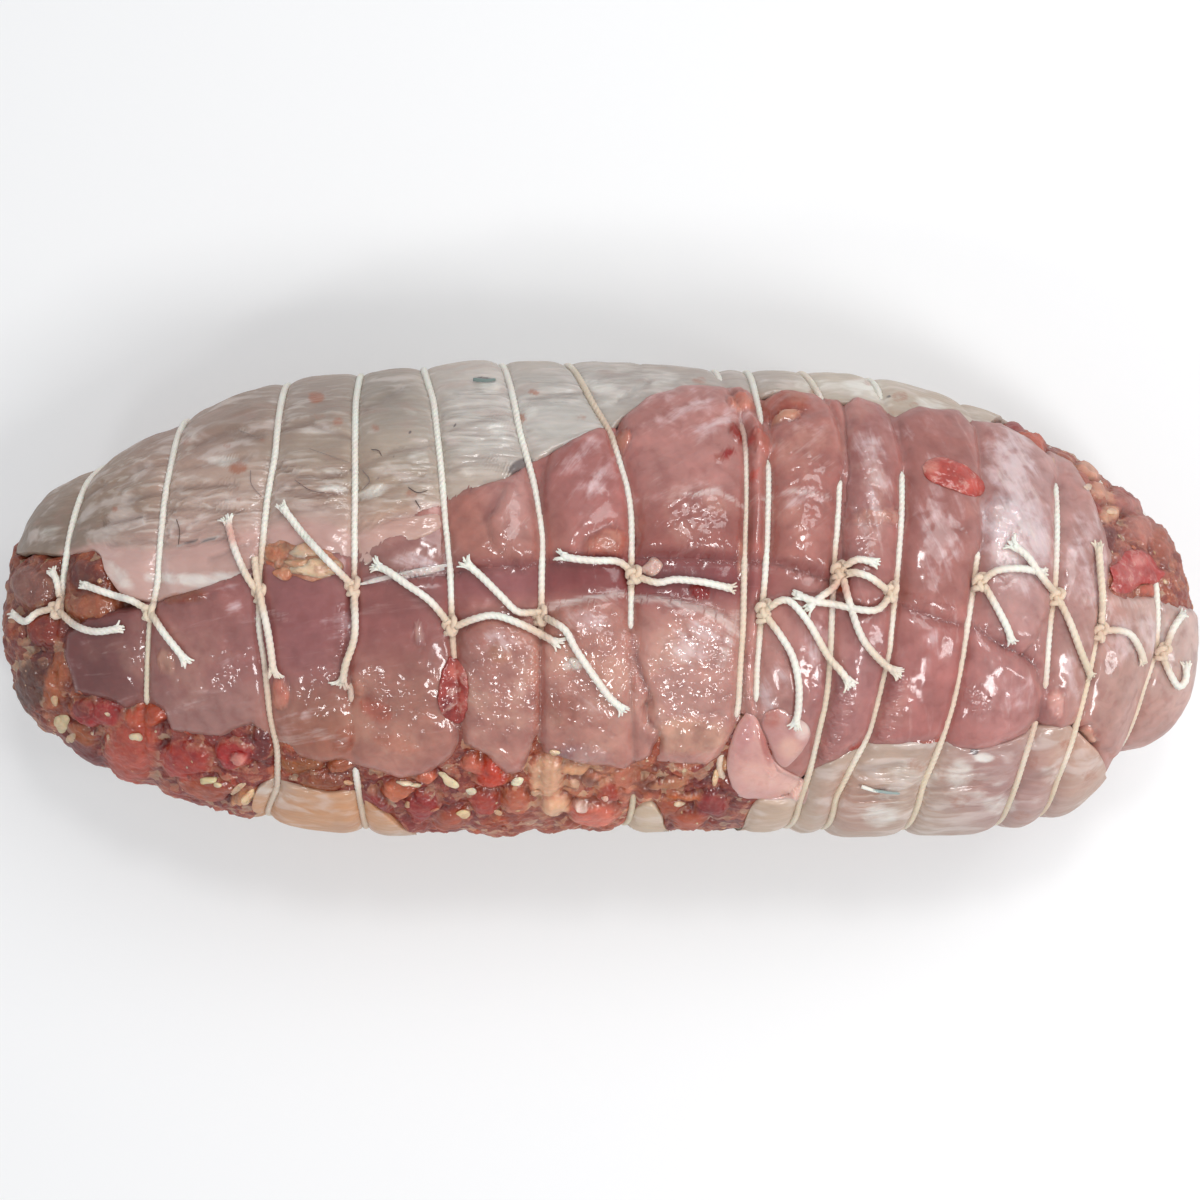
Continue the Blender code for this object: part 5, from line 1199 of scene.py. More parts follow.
def stuffingFinish():
    made, shader, place = finish("stuffing", **{
        "Roughness": 0.5, "Subsurface Weight": 0.4, "Subsurface Radius": (1.0, 0.3, 0.15),
        "Subsurface Scale": 0.0025, "Specular IOR Level": 0.25})
    chunky, rightEnd = painted(place, "marks")[:2]
    tone = attribute(place, "tone")
    drift = place.node("ShaderNodeTexNoise", {}, {"Vector": place, "Scale": 420.0, "Detail": 3.0}, 1)
    bent = place.shifted(drift.times(0.0022))
    grains = bent.cells(1000 / 430, 1)
    pick = grains.node("ShaderNodeSeparateColor", {}, {0: grains})
    ragged = place.noise(1.5, 5, 0.7)
    smear = place.scaled((0.45, 1, 1)).noise(3.4, 5, 0.65, 1.2)
    grainy = pick.node("ShaderNodeValToRGB",
                       {"stops": ((0.0, rgb(98, 36, 30)), (0.28, rgb(142, 58, 44)), (0.55, rgb(172, 92, 64)),
                                  (0.78, rgb(196, 128, 96)), (0.92, rgb(222, 176, 138)),
                                  (1.0, rgb(236, 212, 176)))}, {0: pick})
    loose = 1 - chunky
    tone = tone.times(0.5 + ragged * 0.5 + smear * 0.5)
    colour = (loose * (0.2 + smear * 0.3)).mixed(tone, grainy)
    colour = (smear.over(0.54, 0.7) * (0.08 + loose * 0.22)).mixed(colour, rgb(214, 150, 118))
    colour = ((1 - smear).over(0.52, 0.68) * (0.1 + loose * 0.35)).mixed(colour, rgb(104, 38, 32))
    colour = (ragged.over(0.56, 0.74) * 0.2).mixed(colour, rgb(222, 168, 140))
    colour = (rightEnd * 0.12).mixed(colour, rgb(190, 132, 122))
    wire(place, colour, shader, "Base Color")
    relief = place.noise(1.3, 1, 0.45)
    height = relief * (0.2 + loose * 0.3) + place.noise(3.2, 1, 0.4) * 0.6 + place.cells(2.3) * loose * 0.3
    wire(place, bumped(place, height, 0.0013, 0.7), shader, "Normal")
    filmed(made, shader, place.noise(2.1, 1, 0.35) * 1.4, 0.0013, 0.055, 0.11)
    return made


def flapFinish():
    made, shader, place = finish("flap", **{
        "Roughness": 0.45, "Subsurface Weight": 0.5, "Subsurface Radius": (1.0, 0.4, 0.25),
        "Subsurface Scale": 0.003, "Specular IOR Level": 0.25})
    tone = attribute(place, "tone")
    busy = 1 - painted(place, "marks")[1]
    cloud = place.noise(3.2, 5, 0.65, 0.5)
    colour = (cloud.over(0.5, 0.7) * (busy * 0.35 + 0.08)).mixed(tone, rgb(226, 190, 176))
    colour = ((1 - cloud).over(0.5, 0.7) * (busy * 0.4 + 0.05)).mixed(colour, rgb(146, 60, 52))
    wire(place, colour, shader, "Base Color")
    height = place.noise(4, 1, 0.4) * 0.6 + place.noise(1.6, 1, 0.4) * (busy * 0.4 + 0.05)
    wire(place, bumped(place, height, 0.001, 0.7), shader, "Normal")
    filmed(made, shader, height + place.noise(2.4, 1, 0.35) * (busy * 0.5 + 0.2), 0.0011, 0.05, 0.12)
    return made


def makeHairs(ground):
    data = bpy.data.curves.new("skinHairs", "CURVE")
    data.dimensions = "3D"
    data.bevel_depth = mm
    data.bevel_resolution = 1
    data.use_fill_caps = True
    for line, radius, colour in hairs:
        addStrand(data, laidRoute(ground, line, radius, 0.1), radius, taper=0.3)
    made = meshOf(data)
    co = pointsOf(made)
    uv = seenAt(co)
    near = np.argmin([distanceTo(line, uv) for line, radius, colour in hairs], axis=0)
    paint(made, "tone", np.array([linear(colour) for line, radius, colour in hairs])[near])
    return made


def twineFinish():
    made, shader, place = finish("twine", **{"Roughness": 0.8, "Subsurface Weight": 0.1, "Subsurface Scale": 0.001,
                                             "Sheen Weight": 0.3})
    wire(place, attribute(place, "tone"), shader, "Base Color")
    wire(place, bumped(place, place.noise(0.35, 3, 0.7), 0.0003, 0.6), shader, "Normal")
    return made


# Ground: what the camera sees of the pieces made so far, for laying smaller ones on them

def groundOf(pieces):
    points, faces, first = [], [], 0
    for piece in pieces:
        points.append(pointsOf(piece))
        faces += [tuple(first + v for v in face.vertices) for face in piece.data.polygons if face.center.z > 0.012]
        first += len(piece.data.vertices)
    return BVHTree.FromPolygons(np.vstack(points).tolist(), faces)


def rayAt(uv):
    side = (np.asarray(uv, float) - photo["middle"]) / photo["pixels"]
    return np.stack([side[..., 0], -side[..., 1], -np.ones(side.shape[:-1])], -1)


def landing(ground, uv):  # how far below the camera each pixel's ray lands, in millimetres
    eye = Vector((0, 0, photo["height"]))
    flat = np.asarray(uv, float).reshape(-1, 2)
    depth = np.full(len(flat), np.nan)
    for k, way in enumerate(rayAt(flat)):
        hit = ground.ray_cast(eye, Vector(way))[0]
        if hit:
            depth[k] = photo["height"] - hit.z
    found = ~np.isnan(depth)
    if found.any():
        depth[~found] = np.interp(np.flatnonzero(~found), np.flatnonzero(found), depth[found]) + 1.0
    else:
        depth[:] = 520
    return depth.reshape(np.asarray(uv).shape[:-1])


def pointAt(uv, depth):
    return np.array([0, 0, photo["height"]]) + rayAt(uv) * np.asarray(depth)[..., None]


# Small pieces: flaps, scraps and lumps, each a ball laid on the roast inside an outline

def blob(u, v, wide, high, turn, rough, seed):  # an uneven oval outline
    around = np.linspace(0, math.tau, 28, endpoint=False)
    c, s = math.cos(math.radians(turn)), math.sin(math.radians(turn))
    ring = np.stack([np.cos(around), np.sin(around), 0 * around], -1)
    reach = 1 + rough * 1.6 * lumps(ring, 0.9, seed, 2)
    x, y = wide * reach * np.cos(around), high * reach * np.sin(around)
    return np.stack([u + x * c - y * s, v + x * s + y * c], -1)


def layLump(name, ground, outline, thick, sink, ragged, rough, roughSize, seed, stiff=0.6):
    outline = np.array(outline, float)
    edge = resampled(np.vstack([outline, outline[:1]]), 1.2)[:-1]
    columns = min(160, max(20, len(edge)))
    rings = max(12, int(columns / 3.2))
    edge = smoothed(edge, 2, wrap=True)
    flat = np.hstack([edge, 0 * edge[:, :1]])
    edge = edge + ragged * np.stack([lumps(flat, 11, seed, 3), lumps(flat, 11, seed + 40, 3)], -1)
    pick = np.linspace(0, len(edge), columns, endpoint=False)
    whole = np.vstack([edge, edge[:1]])
    edge = np.stack([np.interp(pick, np.arange(len(whole)), whole[:, k]) for k in (0, 1)], -1)
    made, ring, column = ballRings(name, rings, columns)
    t = ring / (rings + 1) * math.pi
    out = np.sin(t) ** 0.8
    middle = edge.mean(0)
    uv = middle + (edge[column] - middle) * out[:, None]
    depth = landing(ground, uv)
    u, v = (uv[:, 0] - middle[0]) / 30, (uv[:, 1] - middle[1]) / 30
    terms = np.stack([np.ones_like(u), u, v, u * u, u * v, v * v], -1)
    fit = terms @ np.linalg.lstsq(terms, depth, rcond=None)[0]
    depth = np.minimum(fit, depth + 0.6) * stiff + depth * (1 - stiff)
    dome = np.sqrt(np.clip(1 - out ** 2.4, 0, 1))
    height = np.where(t <= math.pi / 2, thick * dome, -sink * dome)
    p = pointAt(uv, depth - height)
    bump = rough * lumps(p, roughSize, seed, 3) * (0.4 + 0.6 * dome)
    p = pointAt(uv, depth - height - bump)
    return moveTo(made, p)


def tint(piece, colour, spots=(), calm=0.0):  # paints a piece one colour, with spots of others
    co = pointsOf(piece)
    uv = seenAt(co)
    tone = np.tile(linear(colour), (len(co), 1)) * (1 + 0.3 * (1 - calm) * lumps(co, 2.4, 6))[:, None]
    for u, v, wide, high, turn, rgbOf in spots:
        shown = spotted(uv, ((u, v, wide, high, turn, 1.0),))[:, None]
        tone = tone * (1 - shown) + linear(rgbOf) * shown
    paint(piece, "tone", np.clip(tone, 0.001, 0.95))
    paint(piece, "marks", np.full((len(co), 3), (0.85, calm, 0)))
    return piece


def layAll(name, ground, bits, rough):  # many small pieces laid down and joined
    made = []
    for number, (u, v, wide, high, turn, thick, colour) in enumerate(bits):
        outline = blob(u, v, wide, high, turn, 0.42, number)
        piece = layLump(f"{name}{number}", ground, outline, thick, 1.6, 0.25 * min(wide, high),
                        rough * min(1, thick), 1.8, number)
        made.append(tint(piece, colour))
    return joined(name, made)


def joined(name, pieces):
    bpy.ops.object.select_all(action="DESELECT")
    for piece in pieces:
        piece.select_set(True)
    bpy.context.view_layer.objects.active = pieces[0]
    if len(pieces) > 1:
        bpy.ops.object.join()
    pieces[0].name = pieces[0].data.name = name
    return pieces[0]


flaps = (
    {"outline": ((764, 712), (780, 708), (796, 716), (807, 723), (811, 732), (808, 742), (802, 752), (795, 760),
                 (786, 767), (778, 762), (772, 750), (768, 738), (762, 724)), "thick": 0.9,
     "colour": (196, 144, 138),
     "spots": ((803, 730, 8, 10, 0, (224, 194, 186)), (790, 748, 12, 12, 0, (212, 166, 152)),
               (772, 718, 10, 10, 0, (182, 116, 106)))},
    {"outline": ((747, 711), (738, 724), (732, 739), (728, 754), (728, 770), (731, 783), (736, 793), (745, 798),
                 (757, 798), (770, 800), (782, 799), (792, 799), (800, 803), (807, 805), (810, 796), (810, 787),
                 (804, 779), (795, 774), (784, 768), (776, 761), (770, 750), (766, 738), (761, 726), (756, 716)),
     "thick": 2.0, "colour": (206, 154, 146),
     "spots": ((745, 735, 8, 20, 20, (196, 140, 136)), (762, 776, 28, 14, 10, (220, 168, 156)),
               (795, 790, 14, 12, 0, (226, 180, 166)), (765, 745, 4, 20, -16, (176, 112, 104)))},
)
meatBits = (  # a strip of sinew and two lumps of fat on the meat: middle, half sizes, turn, height, colour
    (408, 574, 42, 4.5, -11, 0.6, (212, 196, 190)), (651, 568, 9, 8, 0, 1.3, (208, 172, 160)),
    (577, 663, 7, 6, 20, 0.9, (224, 206, 194)))
hairs = (  # quill hairs left in the skin: the line each takes in pixels, thickness in millimetres, colour
    (((177, 519), (180, 530), (179, 544)), 0.14, (92, 72, 60)),
    (((251, 470), (252, 484), (262, 496)), 0.09, (120, 104, 100)),
    (((296, 480), (312, 490), (338, 494)), 0.1, (112, 92, 88)),
    (((409, 487), (418, 492), (428, 490)), 0.13, (80, 64, 60)),
    (((416, 500), (421, 508)), 0.14, (80, 66, 60)), (((372, 449), (379, 450), (382, 455)), 0.13, (84, 70, 64)),
    (((363, 470), (370, 480), (362, 490)), 0.09, (110, 96, 92)), (((240, 430), (262, 438)), 0.08, (126, 112, 106)),
    (((310, 448), (350, 462)), 0.08, (128, 116, 108)), (((862, 786), (868, 788), (877, 791)), 0.5, (236, 232, 222)),
    (((874, 790), (888, 792), (900, 793)), 0.4, (148, 164, 160)),
    (((474, 379), (486, 380), (496, 379)), 0.5, (112, 128, 124)))
scraps = {
    "red_scrap_front": {"outline": ((450, 655), (460, 660), (467, 674), (469, 692), (468, 708), (462, 722),
                                    (452, 722), (443, 714), (438, 700), (440, 682), (444, 666)), "thick": 1.7,
                        "ragged": 1.6, "colour": (146, 46, 38),
                        "spots": ((456, 670, 8, 9, 0, (190, 96, 82)), (462, 702, 5, 12, 0, (176, 74, 62)),
                                  (448, 706, 6, 12, 0, (120, 26, 24)))},
    "red_scrap_top": {"outline": ((922, 466), (930, 458), (942, 456), (956, 460), (970, 468), (982, 480),
                                  (985, 490), (978, 496), (966, 494), (950, 488), (936, 482), (926, 476)),
                      "thick": 1.3, "ragged": 2.0, "colour": (174, 68, 58),
                      "spots": ((932, 466, 8, 8, 20, (200, 120, 106)), (974, 484, 10, 7, 30, (196, 84, 72)))},
    "red_scrap_end": {"outline": ((1110, 568), (1120, 560), (1128, 549), (1146, 553), (1158, 566), (1168, 572),
                                  (1158, 582), (1144, 584), (1124, 594), (1112, 588), (1114, 578)), "thick": 1.5,
                      "ragged": 2.4, "colour": (170, 64, 60),
                      # the light spot at (1140, 560) is a painted highlight
                      "spots": ((1130, 574, 14, 10, 0, (178, 84, 80)), (1140, 560, 8, 6, 0, (206, 120, 112)))},
    "fat_scrap": {"outline": ((262, 548), (272, 540), (284, 539), (296, 545), (312, 548), (328, 552), (342, 560),
                              (340, 570), (326, 578), (312, 580), (298, 577), (284, 574), (270, 568)), "thick": 1.0,
                  "ragged": 4.0, "colour": (188, 122, 92),
                  "more": ((279, 556, 14, 15, 0, 1.3, (190, 116, 84)), (301, 552, 16, 7, 4, 1.6, (214, 168, 138)),
                           (300, 566, 14, 8, 10, 1.7, (206, 150, 116)),
                           (320, 568, 20, 10, -6, 2.2, (222, 184, 152)),
                           (284, 572, 12, 7, 10, 1.3, (200, 132, 98))),
                  "spots": ((272, 558, 8, 12, 0, (180, 96, 68)),)},
}


# Strings: twisted twine pulled tight, knotted on top, with loose ends that fray

twineLook = {
    "pitch": 4.4, "lobe": 0.075, "points": 12, "step": 0.42, "knotRadius": 0.72, "knotPitch": 5, "frayPitch": 9,
    "knotTall": (1.75, 0.5), "knotWide": (1.35, 0.3), "knotDepth": 0.8,  # least size, and how much more by chance
    "base": (246, 238, 226),
    "stains": (  # u, v, half width, half height, colour
        (57, 608, 14, 12, (206, 160, 120)), (150, 612, 9, 10, (222, 190, 150)), (145, 670, 8, 30, (214, 190, 150)),
        (261, 593, 12, 12, (216, 176, 136)), (268, 740, 10, 60, (204, 160, 120)),
        (258, 570, 10, 20, (214, 178, 140)), (354, 588, 13, 14, (208, 160, 118)),
        (365, 815, 10, 20, (200, 156, 112)), (345, 650, 9, 20, (206, 170, 130)), (350, 694, 7, 14, (186, 134, 106)),
        (451, 625, 14, 14, (210, 166, 122)), (452, 650, 8, 14, (200, 140, 96)), (541, 615, 12, 14, (214, 172, 130)),
        (541, 700, 9, 60, (196, 132, 88)), (606, 420, 10, 20, (180, 130, 90)), (635, 574, 14, 12, (214, 172, 128)),
        (590, 400, 20, 30, (206, 178, 140)), (630, 800, 10, 30, (214, 182, 130)), (742, 430, 10, 16, (176, 96, 66)),
        (742, 560, 8, 60, (226, 196, 168)), (742, 650, 9, 40, (220, 186, 150)), (765, 611, 12, 16, (216, 180, 138)),
        (840, 572, 12, 16, (212, 158, 108)), (828, 700, 10, 50, (216, 188, 150)),
        (805, 800, 14, 30, (220, 190, 148)), (892, 591, 12, 14, (216, 176, 136)),
        (880, 700, 12, 50, (214, 180, 144)), (840, 800, 20, 30, (222, 192, 150)),
        (981, 581, 12, 14, (214, 172, 128)), (955, 710, 16, 60, (218, 184, 150)),
        (925, 800, 20, 40, (222, 194, 152)), (1058, 600, 12, 18, (212, 168, 122)),
        (1040, 720, 14, 30, (200, 150, 112)), (1012, 800, 16, 30, (222, 194, 154)),
        (1101, 631, 13, 12, (206, 146, 100)), (1085, 700, 12, 60, (220, 186, 140)),
        (1050, 800, 14, 30, (214, 180, 134)), (1164, 651, 12, 12, (208, 160, 116)),
        (1140, 710, 12, 40, (222, 190, 152)), (1100, 585, 9, 40, (226, 196, 158)),
        (806, 390, 10, 16, (226, 206, 180)), (232, 533, 7, 7, (196, 84, 52)), (841, 588, 7, 7, (196, 84, 48)),
        (722, 772, 8, 12, (222, 176, 136))),
}
looseEnds = (  # the string, how its end is frayed, its height, and its line in pixels from the knot outwards
    (1, 3, 0.3, ((54, 608), (38, 612), (25, 621), (13, 613))),
    (1, 5, 0.4, ((60, 611), (76, 625), (96, 631), (120, 628))),
    (1, 3, 0.2, ((60, 596), (57, 580), (52, 570))),
    (2, 4, 0.7, ((148, 609), (132, 600), (112, 594), (84, 584))),
    (2, 5, 0.5, ((151, 612), (164, 632), (179, 651), (186, 660))),
    (3, 7, 0.8, ((258, 592), (247, 575), (235, 548), (228, 520))),
    (3, 7, 0.8, ((255, 556), (257, 575), (262, 602), (269, 635), (274, 672))),
    (4, 6, 0.9, ((350, 582), (330, 562), (305, 535), (290, 516), (283, 507))),
    (4, 7, 0.6, ((355, 594), (355, 635), (346, 664), (343, 682))),
    (5, 7, 0.8, ((447, 620), (430, 600), (406, 583), (389, 571), (377, 565))),
    (5, 6, 0.7, ((456, 626), (476, 618), (496, 615), (520, 623), (544, 635), (558, 643))),
    (6, 6, 0.9, ((536, 612), (518, 611), (502, 596), (482, 576), (467, 563))),
    (6, 5, 0.9, ((546, 617), (565, 629), (577, 650), (596, 678), (611, 698), (624, 709))),
    (7, 7, 0.8, ((631, 570), (618, 561), (594, 560), (574, 558), (562, 555))),
    (7, 4, 0.7, ((640, 577), (658, 582), (676, 579), (700, 581), (719, 585), (732, 588))),
    (9, 7, 0.9, ((770, 607), (781, 600), (792, 602), (809, 622), (828, 655), (840, 669), (850, 682))),
    (9, 6, 0.7, ((767, 616), (781, 635), (793, 656), (799, 682), (799, 706), (796, 724))),
    (10, 5, 0.4, ((845, 566), (858, 559), (876, 562))),
    (10, 5, 0.8, ((843, 572), (835, 586), (822, 596), (809, 607))),
    (10, 6, 0.8, ((844, 578), (850, 602), (863, 638), (884, 663), (897, 671))),
    (11, 3, 0.8, ((887, 589), (871, 577), (856, 572), (848, 573))),
    (11, 5, 0.9, ((890, 597), (878, 609), (860, 609), (836, 604), (816, 601), (797, 594))),
    (12, 5, 0.7, ((984, 579), (998, 570), (1020, 568), (1044, 572))),
    (12, 4, 0.7, ((985, 585), (998, 608), (1008, 628), (1012, 641))),
    (13, 9, 0.9, ((1055, 592), (1040, 573), (1028, 556), (1014, 545))),
    (13, 5, 0.7, ((1060, 600), (1071, 623), (1081, 650), (1091, 675))),
    (14, 6, 0.8, ((1102, 624), (1103, 596), (1101, 570), (1099, 546))),
    (14, 3, 0.5, ((1105, 630), (1120, 630), (1132, 635), (1141, 650), (1144, 661))),
    (15, 4, 0.5, ((1167, 646), (1174, 628), (1184, 613))),
    (15, 3, 0.4, ((1163, 656), (1171, 674), (1179, 686), (1186, 680), (1187, 664))),
)


def lobedProfile():  # the outline of three strands twisted together
    data = bpy.data.curves.new("twineProfile", "CURVE")
    data.dimensions = "2D"
    line = data.splines.new("POLY")
    line.points.add(twineLook["points"] - 1)
    for k in range(twineLook["points"]):
        a = k / twineLook["points"] * math.tau
        r = mm * (1 + twineLook["lobe"] * math.cos(3 * a))
        line.points[k].co = (r * math.cos(a), r * math.sin(a), 0, 1)
    line.use_cyclic_u = True
    made = bpy.data.objects.new("twineProfile", data)
    bpy.context.scene.collection.objects.link(made)
    return made


def addStrand(data, route, radius, closed=False, pitch=None, taper=0.0):
    line = data.splines.new("POLY")
    line.points.add(len(route) - 1)
    run = np.concatenate([[0], np.cumsum(np.linalg.norm(np.diff(route, axis=0), axis=1))])
    turns = run / (pitch or twineLook["pitch"])
    if closed:
        whole = run[-1] + float(np.linalg.norm(route[-1] - route[0]))
        turns = run / whole * round(whole / (pitch or twineLook["pitch"]))
    for k, point in enumerate(route):
        line.points[k].co = (*(point * mm), 1)
        line.points[k].tilt = float(turns[k] * math.tau)
        line.points[k].radius = float(radius * (1 - taper * (k / max(1, len(route) - 1)) ** 2))
    line.use_cyclic_u = closed
    line.use_smooth = True


def meshOf(data):  # a curve turned into a closed mesh
    made = bpy.data.objects.new(data.name, data)
    bpy.context.scene.collection.objects.link(made)
    bpy.ops.object.select_all(action="DESELECT")
    made.select_set(True)
    bpy.context.view_layer.objects.active = made
    bpy.ops.object.convert(target="MESH")
    made = bpy.context.object
    bpy.ops.object.mode_set(mode="EDIT")
    bpy.ops.mesh.select_all(action="SELECT")
    bpy.ops.mesh.remove_doubles(threshold=0.000002)
    bpy.ops.mesh.normals_make_consistent(inside=False)
    bpy.ops.object.mode_set(mode="OBJECT")
    made.data.shade_smooth()
    return made


def loopRoute(tie):
    fine = np.arange(-180, 180, 0.44)
    x = np.interp(fine, angles, tie["x"])
    depth = string["depth"] + (string["depthAtBack"] - string["depth"]) * towardsBack(fine)
    v = np.interp(fine, angles, tie["v"])
    for low, high in tie.get("hidden", ()):  # the string dives in under the meat that hides it
        closed = ease(low - 6, low + 6, v) * (1 - ease(high - 6, high + 6, v)) * (1 - ease(80, 95, np.abs(fine)))
        depth = depth + string["dive"] * closed
    p = roundForm(x, fine) - facing(x, fine) * depth[:, None]
    p[:, 2] = np.maximum(p[:, 2], string["radius"] + 0.15)
    return p


def knotRoute(centre, along, across, out, wide, high, turn):  # an overhand knot drawn tight
    t = np.linspace(0, math.tau, 64, endpoint=False) + turn
    x, y, z = (np.sin(t) + 2 * np.sin(2 * t)) / 3, (np.cos(t) - 2 * np.cos(2 * t)) / 3, -np.sin(3 * t)
    x, y, z = x * high, y * wide, z * twineLook["knotDepth"]
    return centre + x[:, None] * along + y[:, None] * across + z[:, None] * out


def laidRoute(ground, line, radius, lift, knotDepth=None):  # a loose end resting on what is under it
    uv = resampled(line, 1.7)
    ahead = unit(np.gradient(uv, axis=0))
    side = np.stack([-ahead[:, 1], ahead[:, 0]], -1) * 3
    depth = np.minimum(np.minimum(landing(ground, uv), landing(ground, uv + side)), landing(ground, uv - side))
    lowest = np.minimum(np.minimum(depth, np.roll(depth, 1)), np.roll(depth, -1))
    lowest[0], lowest[-1] = depth[0], depth[-1]
    depth = np.minimum(smoothed(lowest, 3), depth + 0.2)
    t = np.linspace(0, 1, len(uv))
    depth = smoothed(depth, 2) - radius * 0.9 - lift * np.sin(math.pi * t) ** 0.8
    if knotDepth is not None:
        near = 1 - ease(0, 0.22, t)
        depth = depth * (1 - near) + np.minimum(knotDepth, depth) * near
    return pointAt(uv, depth)


def makeTwine(number, tie, profile, ground, dice):
    data = bpy.data.curves.new(f"twine{number:02d}", "CURVE")
    data.dimensions = "3D"
    data.bevel_mode = "OBJECT"
    data.bevel_object = profile
    data.use_fill_caps = True
    data.twist_mode = "MINIMUM"
    addStrand(data, loopRoute(tie), string["radius"], True)
    knotDepth = None
    if tie["knot"]:
        uv = np.array([tie["knot"]], float)
        knotDepth = float(landing(ground, uv)[0]) - 1.5
        angle = float(np.interp(tie["knot"][1], tie["v"][::-1][60:300], angles[::-1][60:300]))
        centre = pointAt(uv, [knotDepth])[0]
        x = float(np.interp(angle, angles, tie["x"]))
        out = facing(np.array([x]), np.array([angle]))[0]
        along = unit(roundForm(np.interp(angle + 2, angles, tie["x"]), angle + 2) - roundForm(x, angle))
        across = np.cross(along, out)
        ranges = twineLook["knotTall"], twineLook["knotWide"]
        tall, wide = [least + more * dice.random() for least, more in ranges]
        knot = knotRoute(centre, along, across, out, wide, tall, dice.random() * 6)
        addStrand(data, knot, twineLook["knotRadius"], True, twineLook["knotPitch"])
        wrap = np.linspace(0, math.tau, 26, endpoint=False)[:, None]
        for turn in range(tie.get("wraps", 1)):  # turns of the twine round the string below the knot
            low = along * (1.9 + 1.3 * turn - tall * 0.2) * (1 if tie["v"][200] > tie["v"][160] else -1)
            coil = across * np.cos(wrap) * 1.15 + out * np.sin(wrap) * 1.0 + along * 0.3 * np.cos(wrap)
            addStrand(data, centre + low - out * 0.35 + coil, twineLook["knotRadius"] * 0.9, True,
                      twineLook["knotPitch"])
    for owner, fray, lift, line in looseEnds:
        if owner != number:
            continue
        route = laidRoute(ground, line, string["radius"], lift, knotDepth)
        count = max(4, int(np.linalg.norm(np.diff(route, axis=0), axis=1).sum() / twineLook["step"]))
        pick = np.linspace(0, len(route) - 1, count)
        route = np.stack([np.interp(pick, np.arange(len(route)), route[:, k]) for k in range(3)], -1)
        addStrand(data, route, string["radius"] * 1.02, taper=-0.06)
        tip, way = route[-1], unit(route[-1] - route[-5])
        strands = fray + 4
        for k in range(strands):  # thin strands spread out of the cut end
            swing = math.radians((k / (strands - 1) - 0.5) * fray * 6 + dice.normal() * 5)
            side = np.array([way[0] * math.cos(swing) - way[1] * math.sin(swing),
                             way[0] * math.sin(swing) + way[1] * math.cos(swing), way[2]])
            length = 0.9 + 0.16 * fray + 1.0 * dice.random()
            steps = np.linspace(0, 1, 9)[:, None]
            bend = np.array([-side[1], side[0], 0]) * dice.normal() * 0.6
            across = np.array([-way[1], way[0], 0]) * (k / (strands - 1) - 0.5) * 1.4
            spray = (way * (1 - steps) + side * steps) * steps * length + bend * steps ** 2
            strand = tip + across - way * 1.2 + spray
            strand[:, 2] += np.sin(steps[:, 0] * 3) * dice.random() * 0.6
            uv = seenAt(strand)
            top = photo["height"] - landing(ground, uv) + 0.35
            strand[:, 2] = np.maximum(strand[:, 2], np.minimum(top, strand[:, 2] + 2))
            addStrand(data, strand, 0.26 + 0.12 * dice.random(), pitch=twineLook["frayPitch"], taper=0.45)
    made = meshOf(data)
    co = pointsOf(made)
    tone = washed(seenAt(co), twineLook["base"], twineLook["stains"]) * 0.65 + 0.35 * linear(twineLook["base"])
    paint(made, "tone", np.clip(tone * (1 + 0.12 * lumps(co, 3, 2))[:, None], 0, 0.9))
    return made


# The scene

lamps = (  # name, place and size in metres, power in watts
    ("ceiling", (0.4, 0.5, 0.9), (0.5, 0.5), 2.8), ("window", (0.3, -0.36, 0.8), (0.14, 0.28), 2.2),
    ("back", (0.05, 0.3, 0.8), (0.1, 0.1), 0.8), ("left", (-0.35, -0.45, 0.75), (0.1, 0.1), 0.6),
    ("right", (0.8, -0.2, 0.62), (0.1, 0.3), 1.0))


def lights():
    world = bpy.data.worlds.new("studio")
    bpy.context.scene.world = world
    world.use_nodes = True
    world.node_tree.nodes["Background"].inputs["Color"].default_value = (0.95, 0.97, 1.0, 1)
    world.node_tree.nodes["Background"].inputs["Strength"].default_value = 0.53
    for name, place, size, power in lamps:
        data = bpy.data.lights.new(name, "AREA")
        data.shape = "RECTANGLE"
        data.size, data.size_y = size
        data.energy = power
        lamp = bpy.data.objects.new(name, data)
        lamp.location = place
        lamp.rotation_euler = (Vector((0, 0, 0.05)) - Vector(place)).to_track_quat("-Z", "Y").to_euler()
        bpy.context.scene.collection.objects.link(lamp)


def camera():
    data = bpy.data.cameras.new("above")
    data.sensor_width = 36
    data.lens = 36 * photo["pixels"] / photo["size"]
    data.clip_start = 0.01
    made = bpy.data.objects.new("above", data)
    made.location = (0, 0, photo["height"] * mm)
    bpy.context.scene.collection.objects.link(made)
    bpy.context.scene.camera = made


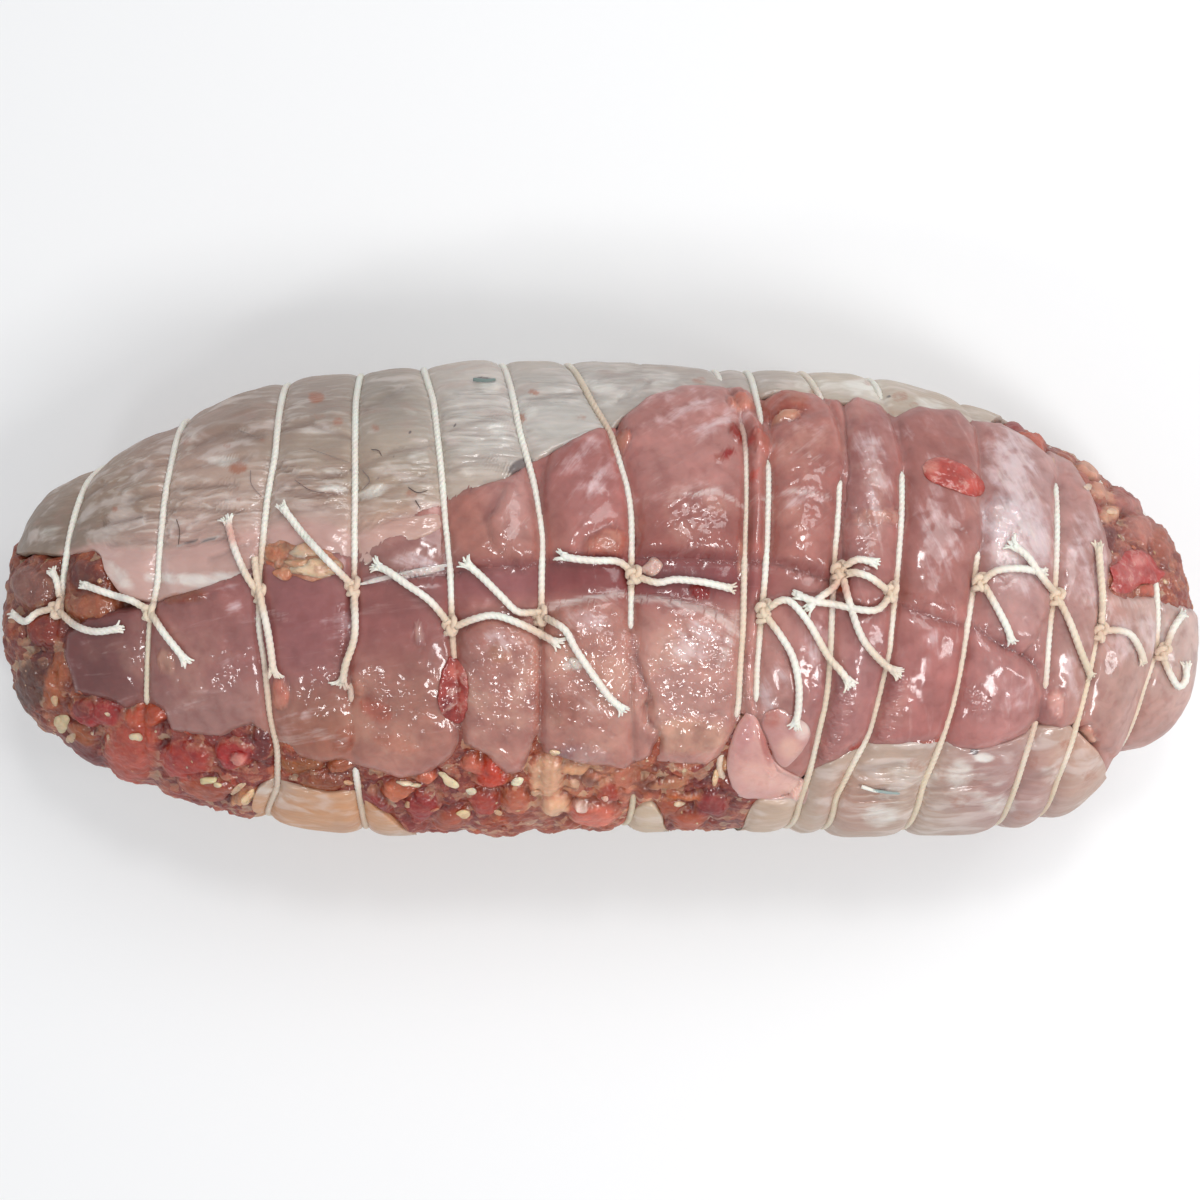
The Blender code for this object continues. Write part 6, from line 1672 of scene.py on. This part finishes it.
def table():
    bpy.ops.object.select_all(action="DESELECT")
    bpy.ops.mesh.primitive_plane_add(size=8)
    made = bpy.context.object
    made.name = "table"
    pale, shader, place = finish("table", **{"Roughness": 0.7, "Base Color": (0.9, 0.9, 0.9, 1)})
    made.data.materials.append(pale)


dressed = []


def dress(piece, node, material):
    dressed.append(piece)
    piece.data.materials.clear()
    piece.data.materials.append(material)
    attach(piece, "root")
    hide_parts(node)


table()
camera()
lights()
bpy.context.scene.view_settings.view_transform = "Standard"
print("scene: table, camera and lights")
meatPiece = makeMeat()
dress(meatPiece, "meat", meatFinish())
print("scene: meat", len(meatPiece.data.polygons))
skinPiece = makeSkin()
dress(skinPiece, "skin", skinFinish())
print("scene: skin", len(skinPiece.data.polygons))
stuffingPiece, mincedWhere = makeStuffing()
mince = stuffingFinish()
dress(stuffingPiece, "stuffing", mince)
ground = groundOf([meatPiece, skinPiece, stuffingPiece])
dress(layAll("firmCrumbs", ground, stuffing["crumbs"], 0.45), "stuffing", mince)
dress(scatterCrumbs(stuffingPiece, mincedWhere), "stuffing", mince)
print("scene: stuffing", len(stuffingPiece.data.polygons))
soft = flapFinish()
flapPieces = []
for number, flap in enumerate(flaps):
    piece = layLump(f"flap{number}", ground, flap["outline"], flap["thick"], 2.4, 0.8, 0.35, 5, number, 0.85)
    flapPieces.append(tint(piece, flap["colour"], flap["spots"], 0.8))
dress(joined("meatFlap", flapPieces), "meat_flap", soft)
dress(layAll("meatBits", ground, meatBits, 0.3), "meat", soft)
for node, scrap in scraps.items():
    name = node.replace("_", "") + "Piece"
    piece = layLump(name, ground, scrap["outline"], scrap["thick"], 2.0, scrap["ragged"], 0.5, 4.0, len(node))
    tint(piece, scrap["colour"], scrap["spots"])
    if "more" in scrap:
        piece = joined(name, [piece, layAll(name + "More", ground, scrap["more"], 0.6)])
    dress(piece, node, soft)
dress(makeHairs(ground), "skin", twineFinish())
print("scene: flaps and scraps")
ground = groundOf([piece for piece in dressed if piece.name not in ("skinHairs", "minceCrumbs")])
twine = twineFinish()
profile = lobedProfile()
dice = np.random.default_rng(4)
for number, tie in enumerate(ties, 1):
    dress(makeTwine(number, tie, profile, ground, dice), f"string_{number:02d}", twine)
bpy.data.objects.remove(profile)
print("scene: strings")
